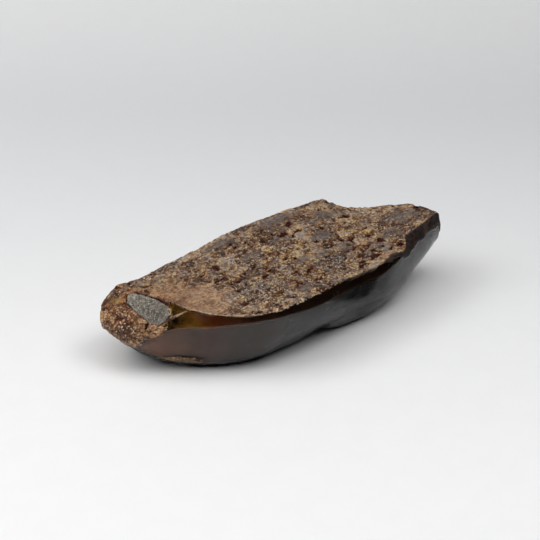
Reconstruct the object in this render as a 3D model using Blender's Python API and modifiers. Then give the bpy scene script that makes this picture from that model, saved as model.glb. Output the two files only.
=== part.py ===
"""A lump of raw amber with a bark-like crust on top and a chip of grey stone lodged in its blunt end.

The lump is a loft between unlike sections. Eight rails run from the blunt end at -X to the thin end
at +X, and every section joins them in the same order: over the crust, down the back, along the rest
face, up the front and over the narrow bevel below the crust's edge. The stone is an outline with
thickness, set in a pocket that is cut for it. The lump's long axis is X and the origin is the centre
of its rest face's plane, at the height of the ground.
"""

import math

import bmesh
import bpy
import numpy as np
from mathutils import Vector, noise

# Driving dimensions, in metres
LENGTH = 0.0887
WIDTH = 0.0376
HEIGHT = 0.0190
STONE_THICKNESS = 0.0040
STONE_BEVEL = 0.0006
STONE_CENTRE = (-0.0355, 0.0053, 0.0134)
STONE_TILT = (math.radians(6.0), math.radians(-15.0), 0.0)
STONE_GAP = 0.0004  # between the stone and its pocket
CRUST_RELIEF = 0.0005  # depth of the crust's hollows
CRUST_GRAIN = 0.0035  # size of the crust's lumps

MM = 0.001
BLUNT_END = (-44.35, 9.8, 10.5)
THIN_END = (44.35, -9.4, 14.5)

# The rails between the two ends: x, y and z in millimetres
RAILS = {
    "crust_front": [
        (-43, 5.6, 12.5), (-34.1, -2.2, 14.8), (-29.8, -3.2, 16), (-27.3, -7.4, 16),
        (-20.8, -14.1, 16), (-13.8, -16.7, 16), (-2.8, -17.2, 16), (9.2, -15.6, 16),
        (18.2, -16, 16), (26.7, -15, 16.3), (30.2, -12.6, 17.2), (34.2, -11.3, 18),
        (43.2, -9.2, 18.6), (44.1, -9.2, 18),
    ],
    "crown": [
        (-43.1, 9.3, 12.8), (-33.8, 5.8, 15.6), (-29.8, 5.8, 16.1), (-23.8, 3.8, 16.4),
        (-13.8, -0.2, 16.9), (2.2, -0.2, 17.6), (26.2, -0.2, 17), (31.2, -2.7, 17),
        (35.2, -4.2, 17.5), (43.2, -6.7, 18.5), (44.1, -8.2, 18.1),
    ],
    "crust_back": [
        (-38.8, 16, 15.1), (-35.8, 16.1, 16.3), (-29.8, 16.1, 15.9), (-25.8, 16.1, 16.5),
        (-13.8, 16.1, 17.5), (2.2, 16.1, 19), (10.2, 16.1, 18.9), (27, 15.8, 18.1),
        (28.8, 13.1, 17.2), (29.8, 10.4, 16.8), (32.8, 7.4, 16.9), (42, -1, 18.2),
        (43.2, -4.4, 18.5), (44.1, -7.2, 18),
    ],
    "flank": [
        (-42.8, 13.8, 9.3), (-35.8, 17.2, 8), (2.2, 18.1, 8.8), (24.2, 15.2, 8.6),
        (28.2, 10.8, 8.8), (34.2, 5.4, 9.6), (43.2, -3.8, 12), (44.1, -5.8, 12.8),
    ],
    "rest_back": [
        (-43, 11.3, 8.8), (-40.8, 11.4, 5.8), (-28.8, 8.4, -0.1), (-13.8, 7.3, -0.4),
        (2.2, 7.3, -0.3), (14.2, 6.3, -0.1), (24.2, 2.8, 1.3), (32.2, -1.6, 3.8),
        (39.2, -4.4, 6.8), (43.2, -7.4, 9.5), (44.1, -8.2, 10.6),
    ],
    "rest_front": [
        (-43, 9.3, 9.0), (-37.3, 5, 2.5), (-33.8, 1.8, 0.8), (-21.8, -7.6, -0.4),
        (-13.8, -9.7, -0.4), (-2.8, -10.1, -0.3), (2.2, -9.8, 0.4), (8.2, -12.2, 0),
        (16.2, -12.8, 0.1), (32.2, -7.8, 3.9), (39.2, -6.2, 6.8), (43.2, -8, 9.4),
        (44.1, -8.8, 10.5),
    ],
    "belly": [
        (-43.2, 6.3, 8.6), (-40.8, 2.4, 8), (-32.8, -4.4, 7.2), (-27.3, -9.3, 7),
        (-13.8, -15.6, 7), (3.2, -16.2, 7.2), (9.2, -16.4, 7.3), (18.2, -16.5, 7.1),
        (26, -15, 6), (34.2, -12.5, 8), (43.2, -10, 11), (44.1, -9.9, 11.9),
    ],
    "crease": [
        (-40.8, 1.2, 11.6), (-32.8, -5.2, 13.7), (-24.8, -11.9, 14.2), (-21.4, -14.7, 14.7),
        (-19.3, -15.7, 14.8), (-13.8, -17.7, 14.9), (-2.8, -18.7, 14.5), (6.8, -17.6, 14.4),
        (16.6, -17.3, 14.2), (20.9, -16.9, 14.8), (24.1, -16.2, 15.2), (29.2, -14.5, 15.3),
        (34, -13, 15.7), (39.4, -11.1, 16.2), (43.2, -10.1, 15.9), (44.1, -9.8, 15.4),
    ],
}

# The stone's outline seen from above, in millimetres from its centre, counter-clockwise
STONE_OUTLINE = [
    (1.2, 6.6), (-0.8, 6.4), (-2.0, 4.8), (-2.4, 0.8), (-2.4, -4.4), (-1.5, -6.5),
    (0.4, -6.8), (2.5, -6.0), (3.5, -4.4), (3.8, -2.4), (3.7, 0.2), (2.4, 3.6),
]

STATIONS = 58  # sections along the lump, its two ends included
TOP_STEPS = 12  # steps across the crust, from its front edge to its back edge
SIDE_STEPS = 6  # steps down the back and up the front
REST_STEPS = 3
BEVEL_STEPS = 2


def remove_objects():
    """Empty the scene of whatever objects it holds."""
    for item in list(bpy.data.objects):
        bpy.data.objects.remove(item, do_unlink=True)


def new_collection(name):
    """Add a collection of this name to the scene."""
    group = bpy.data.collections.new(name)
    bpy.context.scene.collection.children.link(group)
    return group


def plain_material(name, colour, roughness, transmission=0.0):
    """Make a Principled material in one colour."""
    material = bpy.data.materials.new(name)
    material.use_nodes = True
    material.diffuse_color = (*colour, 1.0)
    shader = material.node_tree.nodes["Principled BSDF"]
    shader.inputs["Base Color"].default_value = (*colour, 1.0)
    shader.inputs["Roughness"].default_value = roughness
    shader.inputs["Metallic"].default_value = 0.0
    shader.inputs["Transmission Weight"].default_value = transmission
    return material


def end_angle(x):
    """Turn a distance along the lump into an angle, 0 at the blunt end and pi at the thin end.

    Curves that are smooth in this angle close the two ends roundly.
    """
    share = (np.asarray(x, float) - BLUNT_END[0]) / (THIN_END[0] - BLUNT_END[0])
    return np.arccos(np.clip(1.0 - 2.0 * share, -1.0, 1.0))


def monotone_slopes(knots, values):
    """Slopes at the knots for a cubic that never swings past its points."""
    steps = np.diff(knots)
    rises = np.diff(values) / steps
    slopes = np.zeros_like(values)
    slopes[0] = rises[0]
    slopes[-1] = rises[-1]
    before = 2.0 * steps[1:] + steps[:-1]
    after = steps[1:] + 2.0 * steps[:-1]
    same_way = rises[1:] * rises[:-1] > 0.0
    left = np.where(same_way, rises[:-1], 1.0)
    right = np.where(same_way, rises[1:], 1.0)
    slopes[1:-1] = np.where(same_way, (before + after) / (before / left + after / right), 0.0)
    return slopes


def smooth_curve(knots, values, at):
    """Cubic through (knots, values), read at the angles in at."""
    slopes = monotone_slopes(knots, values)
    index = np.clip(np.searchsorted(knots, at, side="right") - 1, 0, len(knots) - 2)
    step = knots[index + 1] - knots[index]
    u = (at - knots[index]) / step
    start = (2 * u**3 - 3 * u**2 + 1) * values[index] + (u**3 - 2 * u**2 + u) * step * slopes[index]
    end = (3 * u**2 - 2 * u**3) * values[index + 1] + (u**3 - u**2) * step * slopes[index + 1]
    return start + end


def rail(name, x):
    """The y and z of a rail, in millimetres, at each x."""
    points = np.array([BLUNT_END, *RAILS[name], THIN_END], float)
    knots = end_angle(points[:, 0])
    angles = end_angle(x)
    across = smooth_curve(knots, points[:, 1], angles)
    up = smooth_curve(knots, points[:, 2], angles)
    return np.stack([across, up], axis=-1)


def bow(start, middle, end, steps):
    """Points on the parabola through three rails, without its last point."""
    u = (np.arange(steps) / steps)[None, :, None]
    pull = 2.0 * middle - 0.5 * (start + end)
    return (1 - u) ** 2 * start[:, None] + 2 * u * (1 - u) * pull[:, None] + u**2 * end[:, None]


def straight(start, end, steps):
    """Points on the line between two rails, without its last point."""
    u = (np.arange(steps) / steps)[None, :, None]
    return (1 - u) * start[:, None] + u * end[:, None]


def even_stations():
    """The x of each section, evenly spaced along the surface and not along the axis."""
    angles = np.linspace(0.0, math.pi, 2001)
    x = BLUNT_END[0] + (THIN_END[0] - BLUNT_END[0]) * (1.0 - np.cos(angles)) / 2.0
    sides = np.stack([rail(name, x) for name in ("crust_front", "crust_back", "belly", "flank")])
    spread = (np.diff(sides, axis=1) ** 2).sum(axis=2).mean(axis=0)
    travelled = np.concatenate([[0.0], np.cumsum(np.sqrt(np.diff(x) ** 2 + spread))])
    return np.interp(np.linspace(0.0, travelled[-1], STATIONS), travelled, x)[1:-1]


def lump_sections():
    """The sections as an array of stations, steps around and x, y, z in metres."""
    x = even_stations()
    line = {name: rail(name, x) for name in RAILS}
    around = np.concatenate([
        bow(line["crust_front"], line["crown"], line["crust_back"], TOP_STEPS),
        bow(line["crust_back"], line["flank"], line["rest_back"], SIDE_STEPS),
        straight(line["rest_back"], line["rest_front"], REST_STEPS),
        bow(line["rest_front"], line["belly"], line["crease"], SIDE_STEPS),
        straight(line["crease"], line["crust_front"], BEVEL_STEPS),
    ], axis=1)
    along = np.broadcast_to(x[:, None, None], (*around.shape[:2], 1))
    return np.concatenate([along, around], axis=2) * MM


def roughen_crust(sections):
    """Press shallow hollows into the crust, none at its two edges."""
    for station in sections:
        for step in range(1, TOP_STEPS):
            share = math.sin(math.pi * step / TOP_STEPS)
            lumps = noise.fractal(Vector(station[step] / CRUST_GRAIN), 1.0, 2.0, 3)
            station[step, 2] -= CRUST_RELIEF * share * min(max(0.5 + lumps, 0.0), 1.0)


def fit_to_box(points):
    """Lay the points on the ground, centred, at exactly the lump's length, width and height."""
    points[:, 2] = np.maximum(points[:, 2], 0.0)
    low = points.min(axis=0)
    high = points.max(axis=0)
    centre = np.array([(low[0] + high[0]) / 2, (low[1] + high[1]) / 2, low[2]])
    return (points - centre) * np.array([LENGTH, WIDTH, HEIGHT]) / (high - low)


def skin(rings, ring_size):
    """Faces that join a run of rings, with a fan at each end to one last point."""
    blunt = rings * ring_size
    thin = blunt + 1
    last = (rings - 1) * ring_size
    faces = []
    for step in range(ring_size):
        after = (step + 1) % ring_size
        faces.append((blunt, step, after))
        faces.append((thin, last + after, last + step))
        for start in range(0, last, ring_size):
            onward = start + ring_size
            faces.append((start + after, start + step, onward + step, onward + after))
    return faces


def make_lump(collection):
    """Loft the lump of amber."""
    sections = lump_sections()
    roughen_crust(sections)
    ends = np.array([BLUNT_END, THIN_END]) * MM
    points = fit_to_box(np.concatenate([sections.reshape(-1, 3), ends]))
    mesh = bpy.data.meshes.new("amber")
    mesh.from_pydata(points.tolist(), [], skin(*sections.shape[:2]))
    mesh.shade_smooth()
    mesh.set_sharp_from_angle(angle=math.radians(35.0))
    mesh.materials.append(plain_material("amber", (0.16, 0.07, 0.03), 0.12, transmission=0.6))
    lump = bpy.data.objects.new("amber", mesh)
    collection.objects.link(lump)
    return lump


def outset(outline, distance):
    """Push every side of a counter-clockwise outline outwards by the same distance."""
    grown = []
    for index, here in enumerate(outline):
        into = (Vector(here) - Vector(outline[index - 1])).normalized()
        away = (Vector(outline[(index + 1) % len(outline)]) - Vector(here)).normalized()
        normal = Vector((into.y + away.y, -into.x - away.x)).normalized()
        reach = distance / normal.dot(Vector((into.y, -into.x)))
        grown.append(Vector(here) + normal * reach)
    return grown


def slab_object(name, collection, outline, bottom, top):
    """Give an outline its thickness, between a bottom and a top height."""
    shape = bmesh.new()
    corners = [shape.verts.new((x, y, bottom)) for x, y in outline]
    base = shape.faces.new(reversed(corners))
    raised = bmesh.ops.extrude_face_region(shape, geom=[base], use_keep_orig=True)
    lifted = [item for item in raised["geom"] if isinstance(item, bmesh.types.BMVert)]
    bmesh.ops.translate(shape, verts=lifted, vec=(0.0, 0.0, top - bottom))
    bmesh.ops.recalc_face_normals(shape, faces=shape.faces)
    mesh = bpy.data.meshes.new(name)
    shape.to_mesh(mesh)
    shape.free()
    slab = bpy.data.objects.new(name, mesh)
    slab.location = STONE_CENTRE
    slab.rotation_euler = STONE_TILT
    collection.objects.link(slab)
    return slab


def make_stone(collection):
    """Make the chip of grey stone, with its edges worn round."""
    outline = [(x * MM, y * MM) for x, y in STONE_OUTLINE]
    half = STONE_THICKNESS / 2
    stone = slab_object("stone_chip", collection, outline, -half, half)
    bevel = stone.modifiers.new("worn_edges", "BEVEL")
    bevel.width = STONE_BEVEL
    bevel.segments = 2
    bevel.limit_method = "ANGLE"
    stone.data.materials.append(plain_material("grey_stone", (0.17, 0.16, 0.14), 0.75))


def cut_pocket(lump, collection):
    """Cut the pocket that holds the stone, open at the crust."""
    outline = outset([(x * MM, y * MM) for x, y in STONE_OUTLINE], STONE_GAP)
    bottom = -STONE_THICKNESS / 2 - STONE_GAP
    cutter = slab_object("stone_pocket_cutter", collection, outline, bottom, STONE_THICKNESS)
    cutter.hide_render = True
    cutter.display_type = "WIRE"
    pocket = lump.modifiers.new("stone_pocket", "BOOLEAN")
    pocket.operation = "DIFFERENCE"
    pocket.solver = "EXACT"
    pocket.object = cutter


def main():
    """Build the lump, the stone and the pocket that the stone sits in."""
    remove_objects()
    parts = new_collection("raw_amber")
    cutters = new_collection("raw_amber_cutters")
    lump = make_lump(parts)
    make_stone(parts)
    cut_pocket(lump, cutters)


main()
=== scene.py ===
"""Builds a raw amber lump, the stone chip lodged in it, what is sealed inside, and the stage it lies on."""

import math
from types import SimpleNamespace

import bpy
import numpy as np
from bpy.props import FloatProperty, FloatVectorProperty, PointerProperty
from mathutils import Matrix, Vector


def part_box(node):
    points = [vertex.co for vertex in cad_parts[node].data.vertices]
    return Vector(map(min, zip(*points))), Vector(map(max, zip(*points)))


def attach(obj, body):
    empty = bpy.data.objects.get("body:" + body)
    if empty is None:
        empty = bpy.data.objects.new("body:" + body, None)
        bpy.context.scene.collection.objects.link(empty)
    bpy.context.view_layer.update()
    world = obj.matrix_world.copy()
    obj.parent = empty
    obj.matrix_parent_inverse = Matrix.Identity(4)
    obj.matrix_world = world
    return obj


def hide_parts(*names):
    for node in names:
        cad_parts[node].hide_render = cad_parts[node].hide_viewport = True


bl_info = {
    "name": "Raw amber piece",
    "version": (1, 0, 0),
    "blender": (4, 5, 0),
    "location": "3D View > Sidebar > Amber",
    "description": "Builds a lump of raw amber with its bark-like crust, and the stage it lies on",
    "category": "Add Mesh",
}

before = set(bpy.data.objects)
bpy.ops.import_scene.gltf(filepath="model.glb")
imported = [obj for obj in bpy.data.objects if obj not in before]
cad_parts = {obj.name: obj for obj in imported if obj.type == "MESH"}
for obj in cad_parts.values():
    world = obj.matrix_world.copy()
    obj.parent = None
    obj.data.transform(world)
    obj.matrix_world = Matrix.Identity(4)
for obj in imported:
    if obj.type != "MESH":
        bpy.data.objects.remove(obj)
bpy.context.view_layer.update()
LUMP_LOW, LUMP_HIGH = (np.array(corner) * 1000.0 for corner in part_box("amber"))
STONE_LOW, STONE_HIGH = (np.array(corner) * 1000.0 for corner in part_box("stone_chip"))

MM = 0.001  # lengths below are in millimetres unless they say otherwise
UPPER_SIDE = 8.0  # what is placed as seen from above is only made above this height

# The ends of the lump and the rails between them: x, y and z in millimetres.
BLUNT_END = (-44.35, 9.8, 10.5)
THIN_END = (44.35, -9.4, 14.5)
RAILS = {
    "crust_front": [
        (-43, 5.6, 12.5), (-34.1, -2.2, 14.8), (-29.8, -3.2, 16), (-27.3, -7.4, 16),
        (-20.8, -14.1, 16), (-13.8, -16.7, 16), (-2.8, -17.2, 16), (9.2, -15.6, 16),
        (18.2, -16, 16), (26.7, -15, 16.3), (30.2, -12.6, 17.2), (34.2, -11.3, 18),
        (43.2, -9.2, 18.6), (44.1, -9.2, 18),
    ],
    "crown": [
        (-43.1, 9.3, 12.8), (-33.8, 5.8, 15.6), (-29.8, 5.8, 16.1), (-23.8, 3.8, 16.4),
        (-13.8, -0.2, 16.9), (2.2, -0.2, 17.6), (26.2, -0.2, 17), (31.2, -2.7, 17),
        (35.2, -4.2, 17.5), (43.2, -6.7, 18.5), (44.1, -8.2, 18.1),
    ],
    "crust_back": [
        (-38.8, 16, 15.1), (-35.8, 16.1, 16.3), (-29.8, 16.1, 15.9), (-25.8, 16.1, 16.5),
        (-13.8, 16.1, 17.5), (2.2, 16.1, 19), (10.2, 16.1, 18.9), (27, 15.8, 18.1),
        (28.8, 13.1, 17.2), (29.8, 10.4, 16.8), (32.8, 7.4, 16.9), (42, -1, 18.2),
        (43.2, -4.4, 18.5), (44.1, -7.2, 18),
    ],
    "flank": [
        (-42.8, 13.8, 9.3), (-35.8, 17.2, 8), (2.2, 18.1, 8.8), (24.2, 15.2, 8.6),
        (28.2, 10.8, 8.8), (34.2, 5.4, 9.6), (43.2, -3.8, 12), (44.1, -5.8, 12.8),
    ],
    "rest_back": [
        (-43, 11.3, 8.8), (-40.8, 11.4, 5.8), (-28.8, 8.4, -0.1), (-13.8, 7.3, -0.4),
        (2.2, 7.3, -0.3), (14.2, 6.3, -0.1), (24.2, 2.8, 1.3), (32.2, -1.6, 3.8),
        (39.2, -4.4, 6.8), (43.2, -7.4, 9.5), (44.1, -8.2, 10.6),
    ],
    "rest_front": [
        (-43, 9.3, 9.0), (-37.3, 5, 2.5), (-33.8, 1.8, 0.8), (-21.8, -7.6, -0.4),
        (-13.8, -9.7, -0.4), (-2.8, -10.1, -0.3), (2.2, -9.8, 0.4), (8.2, -12.2, 0),
        (16.2, -12.8, 0.1), (32.2, -7.8, 3.9), (39.2, -6.2, 6.8), (43.2, -8, 9.4),
        (44.1, -8.8, 10.5),
    ],
    "belly": [
        (-43.2, 6.3, 8.6), (-40.8, 2.4, 8), (-32.8, -4.4, 7.2), (-27.3, -9.3, 7),
        (-13.8, -15.6, 7), (3.2, -16.2, 7.2), (9.2, -16.4, 7.3), (18.2, -16.5, 7.1),
        (26, -15, 6), (34.2, -12.5, 8), (43.2, -10, 11), (44.1, -9.9, 11.9),
    ],
    "crease": [
        (-40.8, 1.2, 11.6), (-32.8, -5.2, 13.7), (-24.8, -11.9, 14.2), (-21.4, -14.7, 14.7),
        (-19.3, -15.7, 14.8), (-13.8, -17.7, 14.9), (-2.8, -18.7, 14.5), (6.8, -17.6, 14.4),
        (16.6, -17.3, 14.2), (20.9, -16.9, 14.8), (24.1, -16.2, 15.2), (29.2, -14.5, 15.3),
        (34, -13, 15.7), (39.4, -11.1, 16.2), (43.2, -10.1, 15.9), (44.1, -9.8, 15.4),
    ],
}
STATIONS = 338
STEPS = {"top": 128, "back": 50, "rest": 14, "front": 46, "bevel": 12}

# How far the crust's front edge stands past its rail, at each x: positive draws it back.
CRUST_EDGE = [
    (-45, -3.2), (-36.6, -3.2), (-35.2, 0.1), (-29.5, 0.1), (-28, -0.4), (-24, -0.1), (-20, 0.3),
    (-16, 0.5), (-12, 0.2), (-9, 0.5), (-3, 0.6), (3, 0.5), (6, -0.1), (8, -0.6), (12, -0.8), (15, -0.6),
    (17.5, -0.1), (19, 0.0), (22, -0.3), (24, -0.5), (25.5, -1.3), (27, -2.4), (28.5, -2.9), (33, -3.0),
    (38, -3.1), (45, -3.4),
]
# How far inside the crust's front edge its dark broken border reaches, at each x
DARK_BORDER = [
    (-45, 0.0), (17, 0.0), (20, 0.8), (23, 1.8), (25.5, 0.6), (27, 0.2), (29, 0.8), (31, 1.2), (37, 0.5),
    (45, 0.2),
]
# How strongly the resin's surface shines, at each x
POLISH = [
    (-45, 0.0), (-20, 0.0), (-14, 0.5), (-6, 0.62), (3, 0.6), (9, 0.3), (13, 0.05), (18, 0.22), (24, 0.75),
    (30, 1.15), (36, 1.45), (45, 1.5),
]
# How much of that shine each height of the front has, from its foot at 0 to the crease at 1
FACE_SHINE = [(0.0, 1.3), (0.15, 1.1), (0.4, 0.70), (0.65, 0.42), (0.96, 0.20), (1.04, 0.04)]
# How light the clouds are painted at each x: a painted glow, brightest at the blunt end where light shows
# through thin resin
OLIVE_GLOW = [
    (-38.5, 1.0), (-31, 1.0), (-29.5, 0.85), (-28, 0.5), (-25.5, 0.26), (-21.5, 0.11), (-15, 0.07),
    (30, 0.06),
]
RED_GLOW = [(-42, 0.9), (-36, 0.85), (-30.7, 0.42), (-23, 0.12), (-14, 0.05), (-6, 0.0)]
# The window of clear resin beside the stone: corners seen from above, counter-clockwise
WINDOW = [(-30.9, 2.8), (-33.4, -1.6), (-29.5, -3.3)]

# Patches of the crust seen from above. Each kind has the softness of its edge, from 0 to 1, and its
# patches: x, y, half length, half width, turn in degrees.
SPOTS = {
    "tan": (0.45, [(-25.5, -1.5, 6.8, 9.5, 10), (-29.0, 6.6, 3.4, 2.2, 0)]),
    "grit": (0.5, [(-13.5, -7.5, 6.5, 5.5, -25), (8.0, -9.5, 5.0, 3.0, 0)]),
    "smooth": (0.35, [
        (-5.5, 5.2, 3.2, 1.5, 5), (4.6, 6.6, 2.4, 1.1, 0), (14.8, 2.4, 3.6, 1.5, 0),
        (37.0, -3.6, 4.4, 2.0, -30), (28.8, -7.6, 2.8, 1.5, 0), (3.5, -3.8, 2.6, 1.3, 15),
        (-8.0, 13.5, 4.5, 1.6, 0), (10.5, 13.4, 6.0, 1.6, 0), (22.5, 9.0, 4.5, 2.0, -20),
        (9.0, -4.5, 2.6, 1.2, 0), (-3.0, -12.8, 2.6, 1.3, 0), (17.0, -5.2, 2.0, 1.2, 0),
    ]),
    "gold": (0.5, [
        (25.6, -2.4, 1.9, 2.0, 0), (20.5, -2.0, 2.6, 0.8, -10), (-2.0, 7.6, 2.5, 1.0, 0),
        (2.0, 1.0, 3.0, 1.6, 0), (-5.6, -14.6, 1.5, 1.0, 0), (15.0, -2.2, 0.7, 2.2, 0),
        (-11.5, 11.4, 1.6, 1.0, 0), (-40.5, 6.0, 3.0, 6.0, 0), (14.0, -15.0, 1.8, 0.7, 0),
        (32.0, -4.0, 1.6, 1.4, 0), (-4.5, 0.4, 2.2, 0.7, 0), (-31.0, 11.0, 1.6, 0.7, 0),
    ]),
    # pale: pale crust patches, and painted glints and reflections on small smooth facets and along a crack
    "pale": (0.4, [
        (23.6, -10.6, 2.7, 1.7, -20), (-27.4, -6.0, 1.5, 0.35, -45), (14.3, -4.6, 0.8, 0.8, 0),
        (-13.0, 6.5, 1.6, 0.22, 4), (-1.4, -9.4, 1.0, 0.8, 0), (-31.2, 15.4, 1.5, 0.3, 0),
        (-36.2, 13.2, 0.8, 0.7, 0), (-29.0, 10.2, 0.5, 0.45, 0), (18.4, -10.6, 1.5, 1.1, 30),
        (-8.0, -15.9, 3.0, 0.3, 8), (-12.0, -6.0, 1.6, 0.6, 10),
    ]),
    "rust": (0.4, [
        (19.6, -7.4, 1.5, 1.4, 0), (27.6, -12.4, 1.9, 1.9, 0), (22.0, -13.6, 2.6, 0.8, -10),
        (16.0, 11.6, 4.0, 1.0, -8), (-38.0, -0.8, 1.8, 1.2, 0), (-23.0, -12.6, 6.5, 1.4, -46),
        (30.8, -1.4, 1.6, 0.9, 0), (31.4, -10.6, 2.0, 0.7, -40),
    ]),
    "honey": (0.35, [(-39.2, 12.6, 1.3, 1.9, 20)]),
    "calm": (0.4, [(-20.0, 12.0, 10.5, 4.2, 0), (36.0, -1.5, 6.0, 3.5, -40), (8.0, 14.0, 14.0, 2.0, 0)]),
}
# Pits in the crust: x, y, half length, half width, turn in degrees, depth
PITS = [
    (-5.3, 10.0, 1.3, 0.7, 15, 0.8), (-3.4, 9.4, 0.6, 0.4, 20, 0.5), (6.8, 7.3, 1.6, 1.0, 10, 1.0),
    (4.4, 9.7, 1.6, 0.45, 0, 0.6), (0.5, 3.7, 0.7, 0.5, 0, 0.6), (3.2, 1.6, 0.9, 0.35, 0, 0.5),
    (12.0, 0.6, 1.1, 0.7, -10, 0.9), (-11.3, -3.4, 1.0, 0.5, 10, 0.6), (-9.4, -9.6, 0.8, 0.6, 20, 0.6),
    (-5.0, -3.0, 1.5, 0.6, 35, 0.6), (25.4, -7.6, 1.3, 1.0, 0, 1.1), (27.7, -12.3, 0.9, 0.9, 0, 1.3),
    (20.0, -12.4, 1.3, 0.8, 10, 1.0), (18.6, -8.9, 0.9, 0.6, 0, 0.8), (30.6, -1.2, 1.0, 0.5, 0, 0.5),
    (-38.9, 1.0, 0.5, 0.8, 0, 1.3), (-35.9, -1.9, 0.6, 0.6, 0, 1.3), (-41.8, 8.0, 0.8, 1.2, 0, 0.6),
    (-40.8, 4.2, 0.7, 0.7, 0, 0.6), (9.6, -12.4, 0.7, 0.4, 0, 0.5), (2.6, -14.9, 1.0, 0.5, 5, 0.6),
    (-18.4, 7.6, 0.7, 0.4, 0, 0.4), (-15.2, -13.6, 1.1, 0.5, -20, 0.5), (-31.6, 1.4, 0.7, 0.9, 0, 0.7),
]
# Long cracks: the points they run through, and their depth
CRACKS = [
    ([(19.6, 2.4), (17.9, -0.6), (17.6, -3.4), (18.1, -6.2)], 0.7),
    ([(-6.5, 9.2), (-8.5, 8.6), (-11.0, 9.4)], 0.4),
    ([(-1.0, -2.6), (1.5, 0.2), (5.0, 1.0)], 0.35),
]

# The stone's outline seen from above, in millimetres from its centre, counter-clockwise
STONE_OUTLINE = [
    (1.2, 6.6), (-0.8, 6.4), (-2.0, 4.8), (-2.4, 0.8), (-2.4, -4.4), (-1.5, -6.5),
    (0.4, -6.8), (2.5, -6.0), (3.5, -4.4), (3.8, -2.4), (3.7, 0.2), (2.4, 3.6),
]
STONE_CENTRE = (-35.5, 5.3, 13.4)
STONE_TILT = (math.radians(6.0), math.radians(-15.0))
STONE_THICKNESS = 4.0
POCKET_GAP = 0.12
CLOUD_THICKNESS = 0.12

# The colour attributes of the pieces, and the masks that each one keeps
MASK_LAYERS = {
    "crust_shape": ("loose", "pits", "tone", "smooth"),
    "crust_colour": ("tan", "grit", "gold", "pale"),
    "crust_trim": ("rust", "edge", "nose", "deep"),
    "crust_extra": ("honey", "lit_rim", "polish", "domes"),
    "stone_trim": ("rim", "mauve", "worn", "shade"),
    "cloud_trim": ("cover", "glow", "far"),
}
# Colours along a level from 0 to 1
RAMPS = {
    "brown": [
        (0.30, (0.020, 0.005, 0.003)), (0.40, (0.080, 0.032, 0.016)), (0.48, (0.172, 0.088, 0.046)),
        (0.57, (0.300, 0.170, 0.094)), (0.70, (0.66, 0.45, 0.27)),
    ],
    "slate": [
        (0.30, (0.012, 0.009, 0.008)), (0.41, (0.070, 0.053, 0.044)), (0.50, (0.165, 0.132, 0.110)),
        (0.64, (0.42, 0.36, 0.31)),
    ],
    "skin": [
        (0.36, (0.075, 0.030, 0.011)), (0.45, (0.235, 0.118, 0.054)), (0.53, (0.37, 0.215, 0.110)),
        (0.63, (0.60, 0.42, 0.26)),
    ],
    "plate": [(0.36, (0.036, 0.026, 0.022)), (0.48, (0.102, 0.078, 0.066)), (0.62, (0.25, 0.195, 0.165))],
    "pepper": [
        (0.28, (0.012, 0.010, 0.010)), (0.41, (0.062, 0.056, 0.053)), (0.52, (0.155, 0.142, 0.130)),
        (0.68, (0.55, 0.49, 0.43)),
    ],
    "golden": [
        (0.34, (0.034, 0.009, 0.003)), (0.46, (0.21, 0.082, 0.016)), (0.58, (0.48, 0.232, 0.058)),
        (0.70, (0.82, 0.55, 0.22)),
    ],
    "rusty": [(0.32, (0.020, 0.004, 0.002)), (0.48, (0.17, 0.042, 0.012)), (0.66, (0.42, 0.18, 0.06))],
    "nose": [
        (0.31, (0.045, 0.010, 0.003)), (0.41, (0.180, 0.064, 0.014)), (0.50, (0.38, 0.172, 0.048)),
        (0.64, (0.80, 0.54, 0.29)),
    ],
    "honey": [(0.40, (0.04, 0.013, 0.002)), (0.50, (0.14, 0.060, 0.010)), (0.60, (0.35, 0.215, 0.065))],
    "broken": [
        (0.34, (0.003, 0.0015, 0.001)), (0.50, (0.013, 0.007, 0.0055)), (0.66, (0.045, 0.024, 0.017)),
    ],
    "stone": [
        (0.27, (0.026, 0.021, 0.017)), (0.40, (0.092, 0.081, 0.064)), (0.52, (0.175, 0.155, 0.122)),
        (0.68, (0.40, 0.35, 0.29)),
    ],
}


# Noise -----------------------------------------------------------------------------------------

def scatter(cells, seed):
    """A number from 0 to 1 for each integer cell, the same each run: its three indices are multiplied
    by large odd numbers, added and folded twice."""
    index = cells.astype(np.int64)
    mixed = index[..., 0] * 374761393 + index[..., 1] * 668265263 + index[..., 2] * 1274126177
    mixed = (mixed + seed * 974634777) & 0xFFFFFFFF
    mixed = ((mixed ^ (mixed >> 13)) * 1103515245) & 0xFFFFFFFF
    mixed = ((mixed ^ (mixed >> 15)) * 668265263) & 0xFFFFFFFF
    return (mixed ^ (mixed >> 16)) / 4294967295.0


def smooth_step(low, high, value):
    """0 below low, 1 above high, and 3t^2 - 2t^3 between them."""
    share = np.clip((value - low) / (high - low), 0.0, 1.0)
    return share * share * (3.0 - 2.0 * share)


def wave_noise(points, seed):
    """Gradient noise, about -0.7 to 0.7: each lattice corner has a random slope, and the slopes'
    heights are blended with 6t^5 - 15t^4 + 10t^3 along each axis."""
    base = np.floor(points)
    local = points - base
    fade = local**3 * (local * (local * 6.0 - 15.0) + 10.0)
    total = np.zeros(points.shape[:-1])
    for corner in np.ndindex(2, 2, 2):
        offset = np.array(corner, float)
        cell = base + offset
        slopes = np.stack([scatter(cell, seed + 7 * axis) for axis in range(3)], axis=-1) * 2.0 - 1.0
        height = (slopes * (local - offset)).sum(axis=-1)
        weight = np.where(offset > 0.5, fade, 1.0 - fade).prod(axis=-1)
        total += weight * height
    return total


def rough_noise(points, size, seed, octaves=4, gain=0.5):
    """Layers of wave noise, each twice as fine as the last and gain times as strong. Size is the
    coarsest layer's lump."""
    total = np.zeros(points.shape[:-1])
    strength = 1.0
    for octave in range(octaves):
        total += strength * wave_noise(points / size * 2.0**octave + 17.3 * octave, seed + 31 * octave)
        strength *= gain
    return total


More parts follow.
